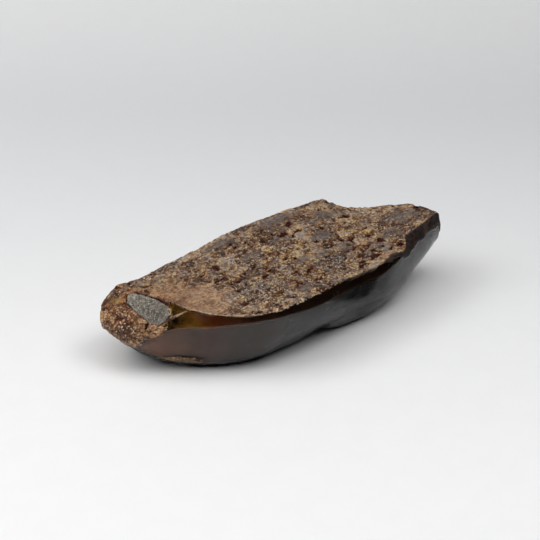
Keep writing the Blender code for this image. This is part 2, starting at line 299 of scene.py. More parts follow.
def bend(points, size, seed, gain=0.5):
    """Rough noise along x and y, and none along z, to bend a pattern with."""
    across = [rough_noise(points, size, seed + axis, gain=gain) for axis in range(2)]
    return np.stack([*across, np.zeros(points.shape[:-1])], axis=-1)


def grain_noise(points, size, seed):
    """Cells round scattered points: the distance to the nearest, to the next nearest, and the nearest
    one's own random number."""
    scaled = points / size
    base = np.floor(scaled)
    near = np.full(points.shape[:-1], 9.0)
    second = near.copy()
    own = np.zeros_like(near)
    for shift in np.ndindex(3, 3, 3):
        cell = base + np.array(shift) - 1.0
        spot = cell + np.stack([scatter(cell, seed + 5 * axis) for axis in range(3)], axis=-1)
        distance = np.linalg.norm(scaled - spot, axis=-1)
        closer = distance < near
        second = np.where(closer, near, np.minimum(second, distance))
        own = np.where(closer, scatter(cell, seed + 99), own)
        near = np.where(closer, distance, near)
    return near, second, own


# The lump's surface ----------------------------------------------------------------------------

def end_angle(x):
    """A distance along the lump as an angle, 0 at the blunt end and pi at the thin end."""
    share = (np.asarray(x, float) - BLUNT_END[0]) / (THIN_END[0] - BLUNT_END[0])
    return np.arccos(np.clip(1.0 - 2.0 * share, -1.0, 1.0))


def smooth_curve(knots, values, at):
    """Cubic through (knots, values) that never swings past its points: each inner slope is the
    weighted harmonic mean of the rises beside it, or 0 at a turning point."""
    steps = np.diff(knots)
    rises = np.diff(values) / steps
    before = 2.0 * steps[1:] + steps[:-1]
    after = steps[1:] + 2.0 * steps[:-1]
    same_way = rises[1:] * rises[:-1] > 0.0
    left = np.where(same_way, rises[:-1], 1.0)
    right = np.where(same_way, rises[1:], 1.0)
    middle = np.where(same_way, (before + after) / (before / left + after / right), 0.0)
    slopes = np.concatenate([rises[:1], middle, rises[-1:]])
    index = np.clip(np.searchsorted(knots, at, side="right") - 1, 0, len(knots) - 2)
    step = knots[index + 1] - knots[index]
    u = (at - knots[index]) / step
    start = (2 * u**3 - 3 * u**2 + 1) * values[index] + (u**3 - 2 * u**2 + u) * step * slopes[index]
    end = (3 * u**2 - 2 * u**3) * values[index + 1] + (u**3 - u**2) * step * slopes[index + 1]
    return start + end


def rail(name, x):
    """The y and z of a rail at each x: a smooth curve in the end angle, so that it closes roundly."""
    points = np.array([BLUNT_END, *RAILS[name], THIN_END], float)
    knots = end_angle(points[:, 0])
    angles = end_angle(x)
    across = smooth_curve(knots, points[:, 1], angles)
    up = smooth_curve(knots, points[:, 2], angles)
    return np.stack([across, up], axis=-1)


def bow(start, middle, end, steps):
    """The parabola through three rails, (1-u)^2 start + 2u(1-u) pull + u^2 end, without its last point."""
    u = (np.arange(steps) / steps)[None, :, None]
    pull = 2.0 * middle - 0.5 * (start + end)
    return (1 - u) ** 2 * start[:, None] + 2 * u * (1 - u) * pull[:, None] + u**2 * end[:, None]


def straight(start, end, steps):
    """The line (1-u) start + u end between two rails, without its last point."""
    u = (np.arange(steps) / steps)[None, :, None]
    return (1 - u) * start[:, None] + u * end[:, None]


def even_stations(count):
    """The x of each section, evenly spaced along the surface and not along the axis."""
    angles = np.linspace(0.0, math.pi, 4001)
    x = BLUNT_END[0] + (THIN_END[0] - BLUNT_END[0]) * (1.0 - np.cos(angles)) / 2.0
    sides = np.stack([rail(name, x) for name in ("crust_front", "crust_back", "belly", "flank")])
    spread = (np.diff(sides, axis=1) ** 2).sum(axis=2).mean(axis=0)
    travelled = np.concatenate([[0.0], np.cumsum(np.sqrt(np.diff(x) ** 2 + spread))])
    return np.interp(np.linspace(0.0, travelled[-1], count), travelled, x)[1:-1]


def lump_grid():
    """The lump's plain surface as an array of stations, steps around and x, y, z: at each station the
    section runs over the crust, down the back, along the rest face, up the front and the bevel."""
    x = even_stations(STATIONS)
    line = {name: rail(name, x) for name in RAILS}
    around = np.concatenate([
        bow(line["crust_front"], line["crown"], line["crust_back"], STEPS["top"]),
        bow(line["crust_back"], line["flank"], line["rest_back"], STEPS["back"]),
        straight(line["rest_back"], line["rest_front"], STEPS["rest"]),
        bow(line["rest_front"], line["belly"], line["crease"], STEPS["front"]),
        straight(line["crease"], line["crust_front"], STEPS["bevel"]),
    ], axis=1)
    along = np.broadcast_to(x[:, None, None], (*around.shape[:2], 1))
    grid = np.concatenate([along, around], axis=2)
    grid[..., 2] = np.maximum(grid[..., 2], 0.0)
    return grid


def grid_normals(grid):
    """Outward unit normals of a grid that closes round its second axis: the cross product of the steps
    around and along."""
    along = np.gradient(grid, axis=0)
    around = np.roll(grid, -1, axis=1) - np.roll(grid, 1, axis=1)
    normals = np.cross(along, around)
    length = np.linalg.norm(normals, axis=-1, keepdims=True)
    return normals / np.maximum(length, 1e-9)


def plain_grid():
    """The lump's plain surface in its CAD box. Each point is then averaged twice with its neighbours
    round the section, which rounds the creases."""
    grid = lump_grid()
    low = grid.min(axis=(0, 1))
    high = grid.max(axis=(0, 1))
    grid = LUMP_LOW + (grid - low) * (LUMP_HIGH - LUMP_LOW) / (high - low)
    for _ in range(2):
        sides = (np.roll(grid, 1, axis=1) + np.roll(grid, -1, axis=1)) / 2.0
        grid = 0.5 * grid + 0.5 * sides
    return grid


def edge_reach(grid):
    """Arc length along each section from the crust's front edge: positive over the crust and down the
    back, negative down the bevel and the front."""
    steps = np.linalg.norm(np.roll(grid, -1, axis=1) - grid, axis=-1)
    travelled = np.concatenate([np.zeros((len(grid), 1)), np.cumsum(steps, axis=1)[:, :-1]], axis=1)
    whole = steps.sum(axis=1, keepdims=True)
    turn = STEPS["top"] + STEPS["back"] + STEPS["rest"] // 2
    behind = np.arange(grid.shape[1])[None, :] >= turn
    return np.where(behind, travelled - whole, travelled)


def turned(points, x, y, degrees):
    """Coordinates seen from above, measured from (x, y) along axes turned by degrees."""
    angle = math.radians(degrees)
    dx = points[..., 0] - x
    dy = points[..., 1] - y
    return dx * math.cos(angle) + dy * math.sin(angle), dy * math.cos(angle) - dx * math.sin(angle)


def patches(points, spots, edge):
    """The strongest of several soft-edged ellipses seen from above, 0 to 1."""
    best = np.zeros(points.shape[:-1])
    for x, y, length, width, turn in spots:
        u, v = turned(points, x, y, turn)
        radius = np.sqrt((u / length) ** 2 + (v / width) ** 2)
        best = np.maximum(best, 1.0 - smooth_step(1.0 - edge, 1.0 + edge, radius))
    return best


def line_distance(points, route):
    """Distance seen from above to a line through the route's points."""
    best = np.full(points.shape[:-1], 99.0)
    for start, end in zip(route, route[1:]):
        a = np.array(start)
        step = np.array(end) - a
        from_a = points[..., :2] - a
        share = np.clip((from_a @ step) / (step @ step), 0.0, 1.0)
        best = np.minimum(best, np.linalg.norm(from_a - share[..., None] * step, axis=-1))
    return best


def inside_outline(points, outline):
    """Signed distance, seen from above, to a convex counter-clockwise outline: positive inside."""
    corners = np.array(outline, float)
    depth = np.full(points.shape[:-1], 99.0)
    for index, corner in enumerate(corners):
        side = corners[(index + 1) % len(corners)] - corner
        normal = np.array([-side[1], side[0]]) / np.linalg.norm(side)
        depth = np.minimum(depth, (points[..., :2] - corner) @ normal)
    return depth


def crust_depth(grid, reach):
    """How far inside the crust each point lies, in millimetres, and below 0 on the polished resin: the
    least of its distances to the crust's front edge, back edge and window, and more on the nose and in a
    tan streak at the front's foot, a painted glow of light showing through the thin edge there."""
    x, y, z = (grid[..., axis] for axis in range(3))
    ragged = rough_noise(grid, 2.4, 11, gain=0.55) * 0.8
    front = reach - np.interp(x, *zip(*CRUST_EDGE)) + ragged
    skirt = 4.2 + 1.2 * np.sin(x * 0.21 + 1.0) + 3.0 * rough_noise(grid, 5.0, 12)
    back = np.where(y > 4.0 - 0.25 * np.maximum(x, 0.0), z - skirt, 9.0)
    window = np.where(z > 12.0, -inside_outline(grid, WINDOW) + 0.3 * ragged, 9.0)
    body = np.minimum(np.minimum(front, back), window)
    # Painted glow: a streak of crust at the front's foot, painted tan, stands in for light showing through
    # the thin edge there.
    streak = 0.7 - 0.7 * np.hypot((x + 32.0) / 3.6, (z - 2.8) / 1.3) + 0.6 * ragged
    body = np.maximum(body, np.where(y < 4.0, streak, -9.0))
    nose_edge = -40.0 + 0.18 * (6.0 - z) + 1.6 * rough_noise(grid, 3.0, 13)
    return np.maximum(body, nose_edge - x)


# Meshes ----------------------------------------------------------------------------------------

def closed_skin(rings, size):
    """Faces of a grid that closes round its second axis, with a fan at each end to one last point."""
    ring = np.arange(rings - 1)[:, None] * size
    step = np.arange(size)[None, :]
    after = (step + 1) % size
    quads = np.stack([ring + after, ring + step, ring + size + step, ring + size + after], axis=-1)
    first = rings * size
    last = (rings - 1) * size
    step = step[0]
    after = after[0]
    blunt = np.stack([np.full(size, first), step, after], axis=-1)
    thin = np.stack([np.full(size, first + 1), last + after, last + step], axis=-1)
    return quads.reshape(-1, 4), np.concatenate([blunt, thin])


def skin_points(grid):
    """A grid's points in a row, then the middle of each end ring, where its fan of faces meets."""
    return np.concatenate([grid.reshape(-1, 3), [grid[0].mean(axis=0), grid[-1].mean(axis=0)]])


def skin_values(values):
    """A value for each of a skin's points: the end points have the mean of their rings."""
    return np.concatenate([np.ravel(values), [np.mean(values[0]), np.mean(values[-1])]])


def new_piece(name, points, quads, triangles, materials, slot):
    """A mesh object from points in millimetres, made with whole arrays, that rides on the root body."""
    mesh = bpy.data.meshes.new(name)
    corners = np.concatenate([np.asarray(quads, np.int64).ravel(), np.asarray(triangles, np.int64).ravel()])
    sizes = np.concatenate([np.full(len(quads), 4), np.full(len(triangles), 3)])
    starts = np.concatenate([[0], np.cumsum(sizes)[:-1]])
    mesh.vertices.add(len(points))
    mesh.vertices.foreach_set("co", (np.asarray(points) * MM).astype(np.float32).ravel())
    mesh.loops.add(len(corners))
    mesh.loops.foreach_set("vertex_index", corners.astype(np.int32))
    mesh.polygons.add(len(sizes))
    mesh.polygons.foreach_set("loop_start", starts.astype(np.int32))
    mesh.polygons.foreach_set("use_smooth", np.ones(len(sizes), bool))
    mesh.update(calc_edges=True)
    mesh.validate()
    for material in materials:
        mesh.materials.append(material)
    piece = bpy.data.objects.new(name, mesh)
    bpy.context.scene.collection.objects.link(piece)
    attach(piece, "root")
    return piece


def store_masks(mesh, layer, masks):
    """Keep a layer's masks, each 0 to 1 at every point, as one colour attribute."""
    colours = np.ones((len(mesh.vertices), 4), np.float32)
    for place, name in enumerate(MASK_LAYERS[layer]):
        colours[:, place] = masks[name]
    stored = mesh.attributes.new(layer, "FLOAT_COLOR", "POINT")
    stored.data.foreach_set("color", np.clip(colours, 0.0, 1.0).ravel())


# The stone's pocket ----------------------------------------------------------------------------

def stone_place():
    """The stone's own frame, in millimetres."""
    turn = Matrix.Rotation(STONE_TILT[1], 3, "Y") @ Matrix.Rotation(STONE_TILT[0], 3, "X")
    return np.array(turn), np.array(STONE_CENTRE)


def press_pocket(grid):
    """Push the surface down around the stone: points within its outline go below its underside, with a
    steep wall."""
    turn, centre = stone_place()
    local = (grid - centre) @ turn
    depth = inside_outline(local, STONE_OUTLINE) + POCKET_GAP
    near = (grid[..., 2] > UPPER_SIDE) & (local[..., 2] > -STONE_THICKNESS)
    share = smooth_step(0.0, 0.35, depth) * near
    floor = -STONE_THICKNESS / 2 - POCKET_GAP
    local[..., 2] = local[..., 2] * (1 - share) + floor * share
    return local @ turn.T + centre, share


# Crust -----------------------------------------------------------------------------------------

def stone_surround(points):
    """What the stone does to the crust round it: how far each point lies beyond it, its raised collar,
    and the gap along its side."""
    turn, centre = stone_place()
    local = (points - centre) @ turn
    beyond = -inside_outline(local, STONE_OUTLINE)
    beyond = np.where(points[..., 2] > UPPER_SIDE, beyond, 9.0) + 0.5 * rough_noise(points, 1.5, 53)
    ring = np.exp(-((beyond - 0.9) / 0.6) ** 2)
    collar = 0.22 * ring * smooth_step(-0.35, 0.35, rough_noise(points, 1.6, 54) + 0.15)
    side = smooth_step(1.0, 2.2, local[..., 0]) * smooth_step(-4.0, -2.5, local[..., 1])
    # The gap is carved as a groove, and through the pits mask it is also painted dark as a shadow line
    # along the stone's side.
    return beyond, collar, 0.8 * smooth_step(1.1, 0.4, beyond) * side


def crust_pits(points):
    """How deep each point lies in a pit or a crack, seen from above."""
    bent = points + 1.1 * bend(points, 1.1, 32)
    pits = np.zeros(points.shape[:-1])
    for x, y, length, width, turn, depth in PITS:
        u, v = turned(bent, x, y, turn)
        pit = 1.0 - smooth_step(0.55, 1.10, np.sqrt((u / length) ** 2 + (v / width) ** 2))
        pits = np.maximum(pits, pit * depth)
    for route, depth in CRACKS:
        crack = 1.0 - smooth_step(0.1, 0.45, line_distance(bent, route))
        pits = np.maximum(pits, crack * depth)
    return pits * (points[..., 2] > UPPER_SIDE)


def crust_relief(points, settings):
    """The crust's height over the plain surface, and the masks that its colours follow.

    Height is swell + plates + grains + fine noise - crevices - pits. Plates are stretched cells with
    sunken borders; grains are domes, 1 - distance^2; crevices are the borders where noise is high."""
    stretched = (points + 2.2 * bend(points, 2.6, 21)) * np.array([0.60, 1.0, 1.0])
    near, second, tone = grain_noise(stretched, 2.7, 23)
    border = 1.0 - smooth_step(0.03, 0.30, second - near)
    beside = 1.0 - smooth_step(0.10, 0.60, second - near)
    moved = points + 1.9 * bend(points, 2.6, 401, gain=0.7)
    masks = {kind: patches(moved, spots, edge) for kind, (edge, spots) in SPOTS.items()}
    smooth, tan, grit = masks["smooth"], masks["tan"], masks["grit"]
    beyond, collar, gap = stone_surround(points)
    nose = smooth_step(-37.5, -40.5, points[..., 0] + rough_noise(points, 2.0, 52))
    nose = np.maximum(nose, 0.9 * smooth_step(2.2, 1.2, beyond))
    calm = (1.0 - 0.9 * smooth) * (1.0 - 0.85 * tan) * (1.0 - masks["honey"]) * (1.0 - 0.65 * masks["calm"])
    clumps = 0.55 * beside + 1.3 * rough_noise(points, 2.2, 30, octaves=3) + 0.12
    gold = np.maximum(masks["gold"], 0.8 * smooth_step(0.30, 0.75, clumps) * calm)
    loose = 0.30 + 1.2 * rough_noise(points, 4.5, 24) + 0.5 * border + 0.6 * gold + 0.5 * grit + 0.2 * nose
    loose = np.clip(loose, 0, 1) * calm
    coarse, _, _ = grain_noise(points, 0.95, 25)
    fine, _, _ = grain_noise(points, 0.55, 26)
    lumps, _, _ = grain_noise(points, 1.9, 34)
    domes = 0.6 * (1.0 - coarse**2) + 0.4 * (1.0 - fine**2) + 0.5 * rough_noise(points, 0.9, 35, octaves=2)
    torn = rough_noise(points * np.array([0.55, 1.0, 1.0]), 1.7, 31, gain=0.6)
    crevice = smooth_step(0.74, 1.02, 0.75 * border + 0.15 * nose + 1.5 * torn) * calm * (1.0 - 0.45 * nose)
    pits = np.maximum(np.maximum(0.7 * crevice, gap), crust_pits(points))
    swell = 0.28 * rough_noise(points, 7.0, 28, octaves=2)
    steps = (tone - 0.5) * 0.28 * (1.0 - border) * (1.0 - 0.6 * tan) * (1.0 - 0.6 * nose)
    height = swell + steps - 0.10 * border * (1.0 - tan) + 0.08 * nose * (0.6 - lumps)
    height += settings.grain_height / MM * (domes - 0.6) * (0.25 + loose + 0.5 * gold)
    crumbs = 0.10 * rough_noise(points, 0.8, 29, octaves=2)
    height += crumbs * (0.4 + loose) - settings.pit_depth / MM * pits
    patchy = smooth_step(-0.15, 0.25, rough_noise(points, 1.6, 57) + 0.1)
    low_nose = 0.75 * nose * smooth_step(9.0, 6.5, points[..., 2]) * patchy
    masks.update({
        "loose": loose, "pits": np.clip(pits, 0, 1), "domes": domes, "tone": tone, "gold": gold,
        "nose": nose, "collar": collar, "pale": np.maximum(masks["pale"], low_nose),
    })
    return height, masks


def keep_in_box(points, low, high):
    """Hold points inside the CAD box: past 0.4 mm from a side they close on it without reaching it."""
    soft = 0.4
    for axis in range(3):
        value = points[..., axis]
        over = value - (high[axis] - soft)
        value = np.where(over > 0, high[axis] - soft + soft * (1 - np.exp(-over / soft)), value)
        if axis < 2:
            under = (low[axis] + soft) - value
            value = np.where(under > 0, low[axis] + soft - soft * (1 - np.exp(-under / soft)), value)
        points[..., axis] = value
    points[..., 2] = np.maximum(points[..., 2], low[2])
    return points


def lump_surface(settings):
    """The lump's points, how far inside the crust each one lies, and the masks.

    Point = plain surface + normal x (crust cover x crust height + (1 - cover) x polished waviness)."""
    grid = plain_grid()
    x, y, z = (grid[..., axis] for axis in range(3))
    reach = edge_reach(grid)
    crust = crust_depth(grid, reach)
    height, masks = crust_relief(grid, settings)
    cover = smooth_step(-0.20, 0.30, crust)
    rim = np.exp(-((crust - 0.5) / 0.7) ** 2)
    ripple = 0.07 * rough_noise(grid * np.array([0.6, 1.0, 1.0]), 6.0, 51, octaves=2)
    resting = smooth_step(0.6, 0.0, z)
    body = smooth_step(-35.0, -31.0, x)
    border = reach - np.interp(x, *zip(*DARK_BORDER))
    deep = smooth_step(0.10, -0.45, border + 0.25 * rough_noise(grid, 1.2, 55))
    deep = deep * body * smooth_step(6.0, 9.0, z)
    trim = 0.02 + 0.25 * masks["nose"] * smooth_step(12.0, 9.0, z)
    rough = height * (1.0 - 0.7 * deep) + 0.12 * rim - trim + masks["collar"]
    polished = ripple * (1.0 - resting) - settings.crust_thickness / MM
    lift = (cover * rough + (1.0 - cover) * polished) * (1.0 - resting)
    points, pocket = press_pocket(grid + grid_normals(grid) * lift[..., None])
    points = keep_in_box(points, LUMP_LOW, LUMP_HIGH)
    lit_rim = np.exp(-((border - 0.30 + 0.3 * rough_noise(grid, 2.0, 56)) / 0.22) ** 2)
    lit_rim = lit_rim * np.interp(x, (-26, 2, 20, 30), (1.0, 0.5, 0.35, 0.0))
    # The crust at the front's foot is painted tan, as a painted glow of light through the thin edge.
    low_front = (z < 4.5) & (y < 4.0) & (x > -36.0)
    foot = STEPS["top"] + STEPS["back"] + STEPS["rest"]
    up_front = (np.arange(grid.shape[1]) - foot) / STEPS["front"]
    masks.update({
        "deep": deep,
        "lit_rim": lit_rim * body * (masks["pits"] < 0.3),
        "tan": np.where(low_front, 1.0, masks["tan"]),
        "polish": np.interp(x, *zip(*POLISH)) * np.interp(up_front, *zip(*FACE_SHINE)),
        "edge": np.exp(-np.maximum(crust, 0.0) / 0.6) * (crust > -0.4),
        "pits": np.maximum(masks["pits"] * cover, smooth_step(0.35, 0.8, pocket)),
    })
    return points, np.where(pocket > 0.05, 1.0, crust), masks


# Materials -------------------------------------------------------------------------------------

class Nodes:
    """Adds nodes to a material or group. Given sockets are linked and given values are set."""

    def __init__(self, tree):
        self.tree = tree

    def feed(self, socket, value):
        """Link a socket to another's output, or set its value."""
        if isinstance(value, bpy.types.NodeSocket):
            self.tree.links.new(value, socket)
        else:
            socket.default_value = value

    def feed_all(self, node, inputs):
        """Feed several inputs of a node."""
        for name, value in inputs.items():
            self.feed(node.inputs[name], value)

    def add(self, kind, inputs=None, **settings):
        """Add a node of a kind, with its settings and inputs."""
        node = self.tree.nodes.new(kind)
        for name, value in settings.items():
            setattr(node, name, value)
        self.feed_all(node, inputs or {})
        return node

    def math(self, operation, a, b=0.0, c=0.0):
        """The result of one sum on up to three values."""
        return self.add("ShaderNodeMath", {0: a, 1: b, 2: c}, operation=operation).outputs[0]

    def plus(self, a, b):
        """a + b."""
        return self.math("ADD", a, b)

    def minus(self, a, b):
        """a - b."""
        return self.math("SUBTRACT", a, b)

    def times(self, a, b):
        """a x b."""
        return self.math("MULTIPLY", a, b)

    def times_plus(self, a, b, c):
        """a x b + c."""
        return self.math("MULTIPLY_ADD", a, b, c)

    def most(self, a, b):
        """The larger of two values."""
        return self.math("MAXIMUM", a, b)

    def vector_math(self, operation, a, b):
        """The outputs of one sum on two vectors."""
        return self.add("ShaderNodeVectorMath", {0: a, 1: b}, operation=operation).outputs

    def blend(self, share, a, b):
        """A value between a and b."""
        return self.add("ShaderNodeMix", {0: share, 2: a, 3: b}, data_type="FLOAT").outputs[0]

    def tint(self, share, a, b, mode="MIX"):
        """A colour between a and b."""
        node = self.add("ShaderNodeMix", {0: share, 6: a, 7: b}, data_type="RGBA", blend_type=mode)
        return node.outputs[2]

    def layers(self, colour, layers, mode="MIX"):
        """Lay colours over another, in order. Each layer has a mask, its strength and its colour."""
        for mask, strength, over in layers:
            colour = self.tint(self.times(mask, strength), colour, over, mode)
        return colour

    def span(self, value, low, high, to_low=0.0, to_high=1.0):
        """Carry a value from one range to another, smoothly, and hold it at the ends."""
        inputs = {"Value": value, "From Min": low, "From Max": high, "To Min": to_low, "To Max": to_high}
        return self.add("ShaderNodeMapRange", inputs, interpolation_type="SMOOTHSTEP").outputs[0]

    def noise(self, place, scale, detail=4.0, rough=0.55, twist=0.0):
        """Cloudy noise from 0 to 1."""
        layers = {"Detail": detail, "Roughness": rough, "Distortion": twist}
        return self.add("ShaderNodeTexNoise", {"Vector": place, "Scale": scale, **layers}).outputs[0]

    def cells(self, place, scale):
        """Cells round scattered points."""
        inputs = {"Vector": place, "Scale": scale, "Randomness": 1.0}
        return self.add("ShaderNodeTexVoronoi", inputs).outputs

    def ramp(self, value, name):
        """A colour read from one of the ramps."""
        node = self.add("ShaderNodeValToRGB", {"Fac": value})
        line = node.color_ramp
        while len(line.elements) < len(RAMPS[name]):
            line.elements.new(0.5)
        for element, (place, colour) in zip(line.elements, RAMPS[name]):
            element.position = place
            element.color = rgba(colour)
        return node.outputs[0]

    def masks(self, *layers):
        """The masks of some colour attributes, by name."""
        found = {}
        for layer in layers:
            source = self.add("ShaderNodeAttribute", attribute_name=layer)
            parts = self.add("ShaderNodeSeparateColor", {0: source.outputs["Color"]}).outputs
            found.update(zip(MASK_LAYERS[layer], (*parts[:3], source.outputs["Alpha"])))
        return SimpleNamespace(**found)

    def place(self):
        """Object coordinates in millimetres."""
        metres = self.add("ShaderNodeTexCoord").outputs["Object"]
        return self.mapped(metres, (0.0, 0.0, 0.0), (1.0 / MM,) * 3)

    def mapped(self, place, turn, scale):
        """Coordinates turned and stretched."""
        inputs = {"Vector": place, "Rotation": turn, "Scale": scale}
        return self.add("ShaderNodeMapping", inputs).outputs[0]

    def axes(self, place):
        """The x, y and z of a vector."""
        return self.add("ShaderNodeSeparateXYZ", {0: place}).outputs

    def backfacing(self):
        """1 where a face is seen from behind."""
        return self.add("ShaderNodeNewGeometry").outputs["Backfacing"]

    def bump(self, height, strength, distance, **inputs):
        """A normal tilted by a height, in steps of a distance in metres."""
        given = {"Height": height, "Strength": strength, "Distance": distance, **inputs}
        return self.add("ShaderNodeBump", given).outputs[0]

    def group(self, tree, inputs):
        """Place a shared effect with its own values."""
        return self.add("ShaderNodeGroup", node_tree=tree, inputs=inputs).outputs

    def principled(self, inputs):
        """The surface shader and its output."""
        shader = self.add("ShaderNodeBsdfPrincipled", inputs)
        output = self.add("ShaderNodeOutputMaterial", {"Surface": shader.outputs[0]})
        return shader, output


def rgba(colour):
    """A colour with full opacity."""
    return (*tuple(colour)[:3], 1.0)


def new_material(name):
    """An empty node material."""
    material = bpy.data.materials.new(name)
    material.use_nodes = True
    material.node_tree.nodes.clear()
    return material, Nodes(material.node_tree)


def new_group(name, inputs, outputs):
    """An empty shader group, built once, with its named sockets."""
    tree = bpy.data.node_groups.new(name, "ShaderNodeTree")
    kinds = {"vector": "NodeSocketVector", "value": "NodeSocketFloat"}
    for socket, kind, value in inputs:
        made = tree.interface.new_socket(socket, in_out="INPUT", socket_type=kinds[kind])
        if value is not None:
            made.default_value = value
    for socket, kind in outputs:
        tree.interface.new_socket(socket, in_out="OUTPUT", socket_type=kinds[kind])
    nodes = Nodes(tree)
    entry = nodes.add("NodeGroupInput").outputs
    ending = nodes.add("NodeGroupOutput")
    return tree, nodes, entry, ending


def grit_effect():
    """Packed grains of two sizes: each one's own tone, their height, and the few that catch the light."""
    found = bpy.data.node_groups.get("Packed grit")
    if found:
        return found
    tree, nodes, entry, ending = new_group(
        "Packed grit",
        [("Place", "vector", None), ("Grain Size", "value", 0.6), ("Shine Share", "value", 0.12)],
        [("Tone", "value"), ("Height", "value"), ("Shine", "value"), ("Hue", "value")],
    )
    curls = nodes.add("ShaderNodeTexNoise", {"Vector": entry["Place"], "Scale": 1.3, "Detail": 2.0})
    shift = nodes.vector_math("MULTIPLY", curls.outputs[1], (0.7, 0.7, 0.7))[0]
    place = nodes.vector_math("ADD", entry["Place"], shift)[0]
    coarse = nodes.cells(place, nodes.math("DIVIDE", 1.0, entry["Grain Size"]))
    fine = nodes.cells(place, nodes.math("DIVIDE", 2.3, entry["Grain Size"]))
    coarse_tone = nodes.add("ShaderNodeSeparateColor", {0: coarse["Color"]}).outputs
    fine_tone = nodes.add("ShaderNodeSeparateColor", {0: fine["Color"]}).outputs
    dust = nodes.noise(place, nodes.math("DIVIDE", 3.0, entry["Grain Size"]), 5.0, 0.65)
    tone = nodes.plus(nodes.times(coarse_tone[0], 0.45), nodes.times(fine_tone[0], 0.3))
    hollow = nodes.plus(coarse["Distance"], nodes.times(fine["Distance"], 0.5))
    nodes.feed_all(ending, {
        "Tone": nodes.plus(tone, nodes.times(dust, 0.25)),
        "Height": nodes.minus(nodes.plus(1.0, nodes.times(dust, 0.5)), hollow),
        "Shine": nodes.math("GREATER_THAN", fine_tone[1], nodes.minus(1.0, entry["Shine Share"])),
        "Hue": coarse_tone[1],
    })
    return tree


def handling_effect():
    """Handling marks on a smooth surface: hairline scratches, a smeared bloom and a soft ripple."""
    found = bpy.data.node_groups.get("Handling marks")
    if found:
        return found
    tree, nodes, entry, ending = new_group(
        "Handling marks",
        [("Place", "vector", None), ("Scratch Share", "value", 0.5)],
        [("Scratch", "value"), ("Smear", "value"), ("Ripple", "value")],
    )
    lines = []
    for turn, stretch in (((0.3, 0.2, 0.5), (0.12, 2.6, 1.6)), ((1.1, -0.4, -0.7), (0.10, 2.2, 2.0))):
        streaks = nodes.noise(nodes.mapped(entry["Place"], turn, stretch), 1.2, 3.0, 0.6)
        lines.append(nodes.span(nodes.math("ABSOLUTE", nodes.minus(streaks, 0.5)), 0.012, 0.0))
    patchy = nodes.span(nodes.noise(entry["Place"], 0.35, 2.0), 0.45, 0.65)
    scratch = nodes.times(nodes.most(lines[0], lines[1]), patchy)
    nodes.feed_all(ending, {
        "Scratch": nodes.times(scratch, entry["Scratch Share"]),
        "Smear": nodes.noise(entry["Place"], 0.22, 5.0, 0.6, 0.6),
        "Ripple": nodes.noise(entry["Place"], 0.16, 2.0, 0.4),
    })
    return tree


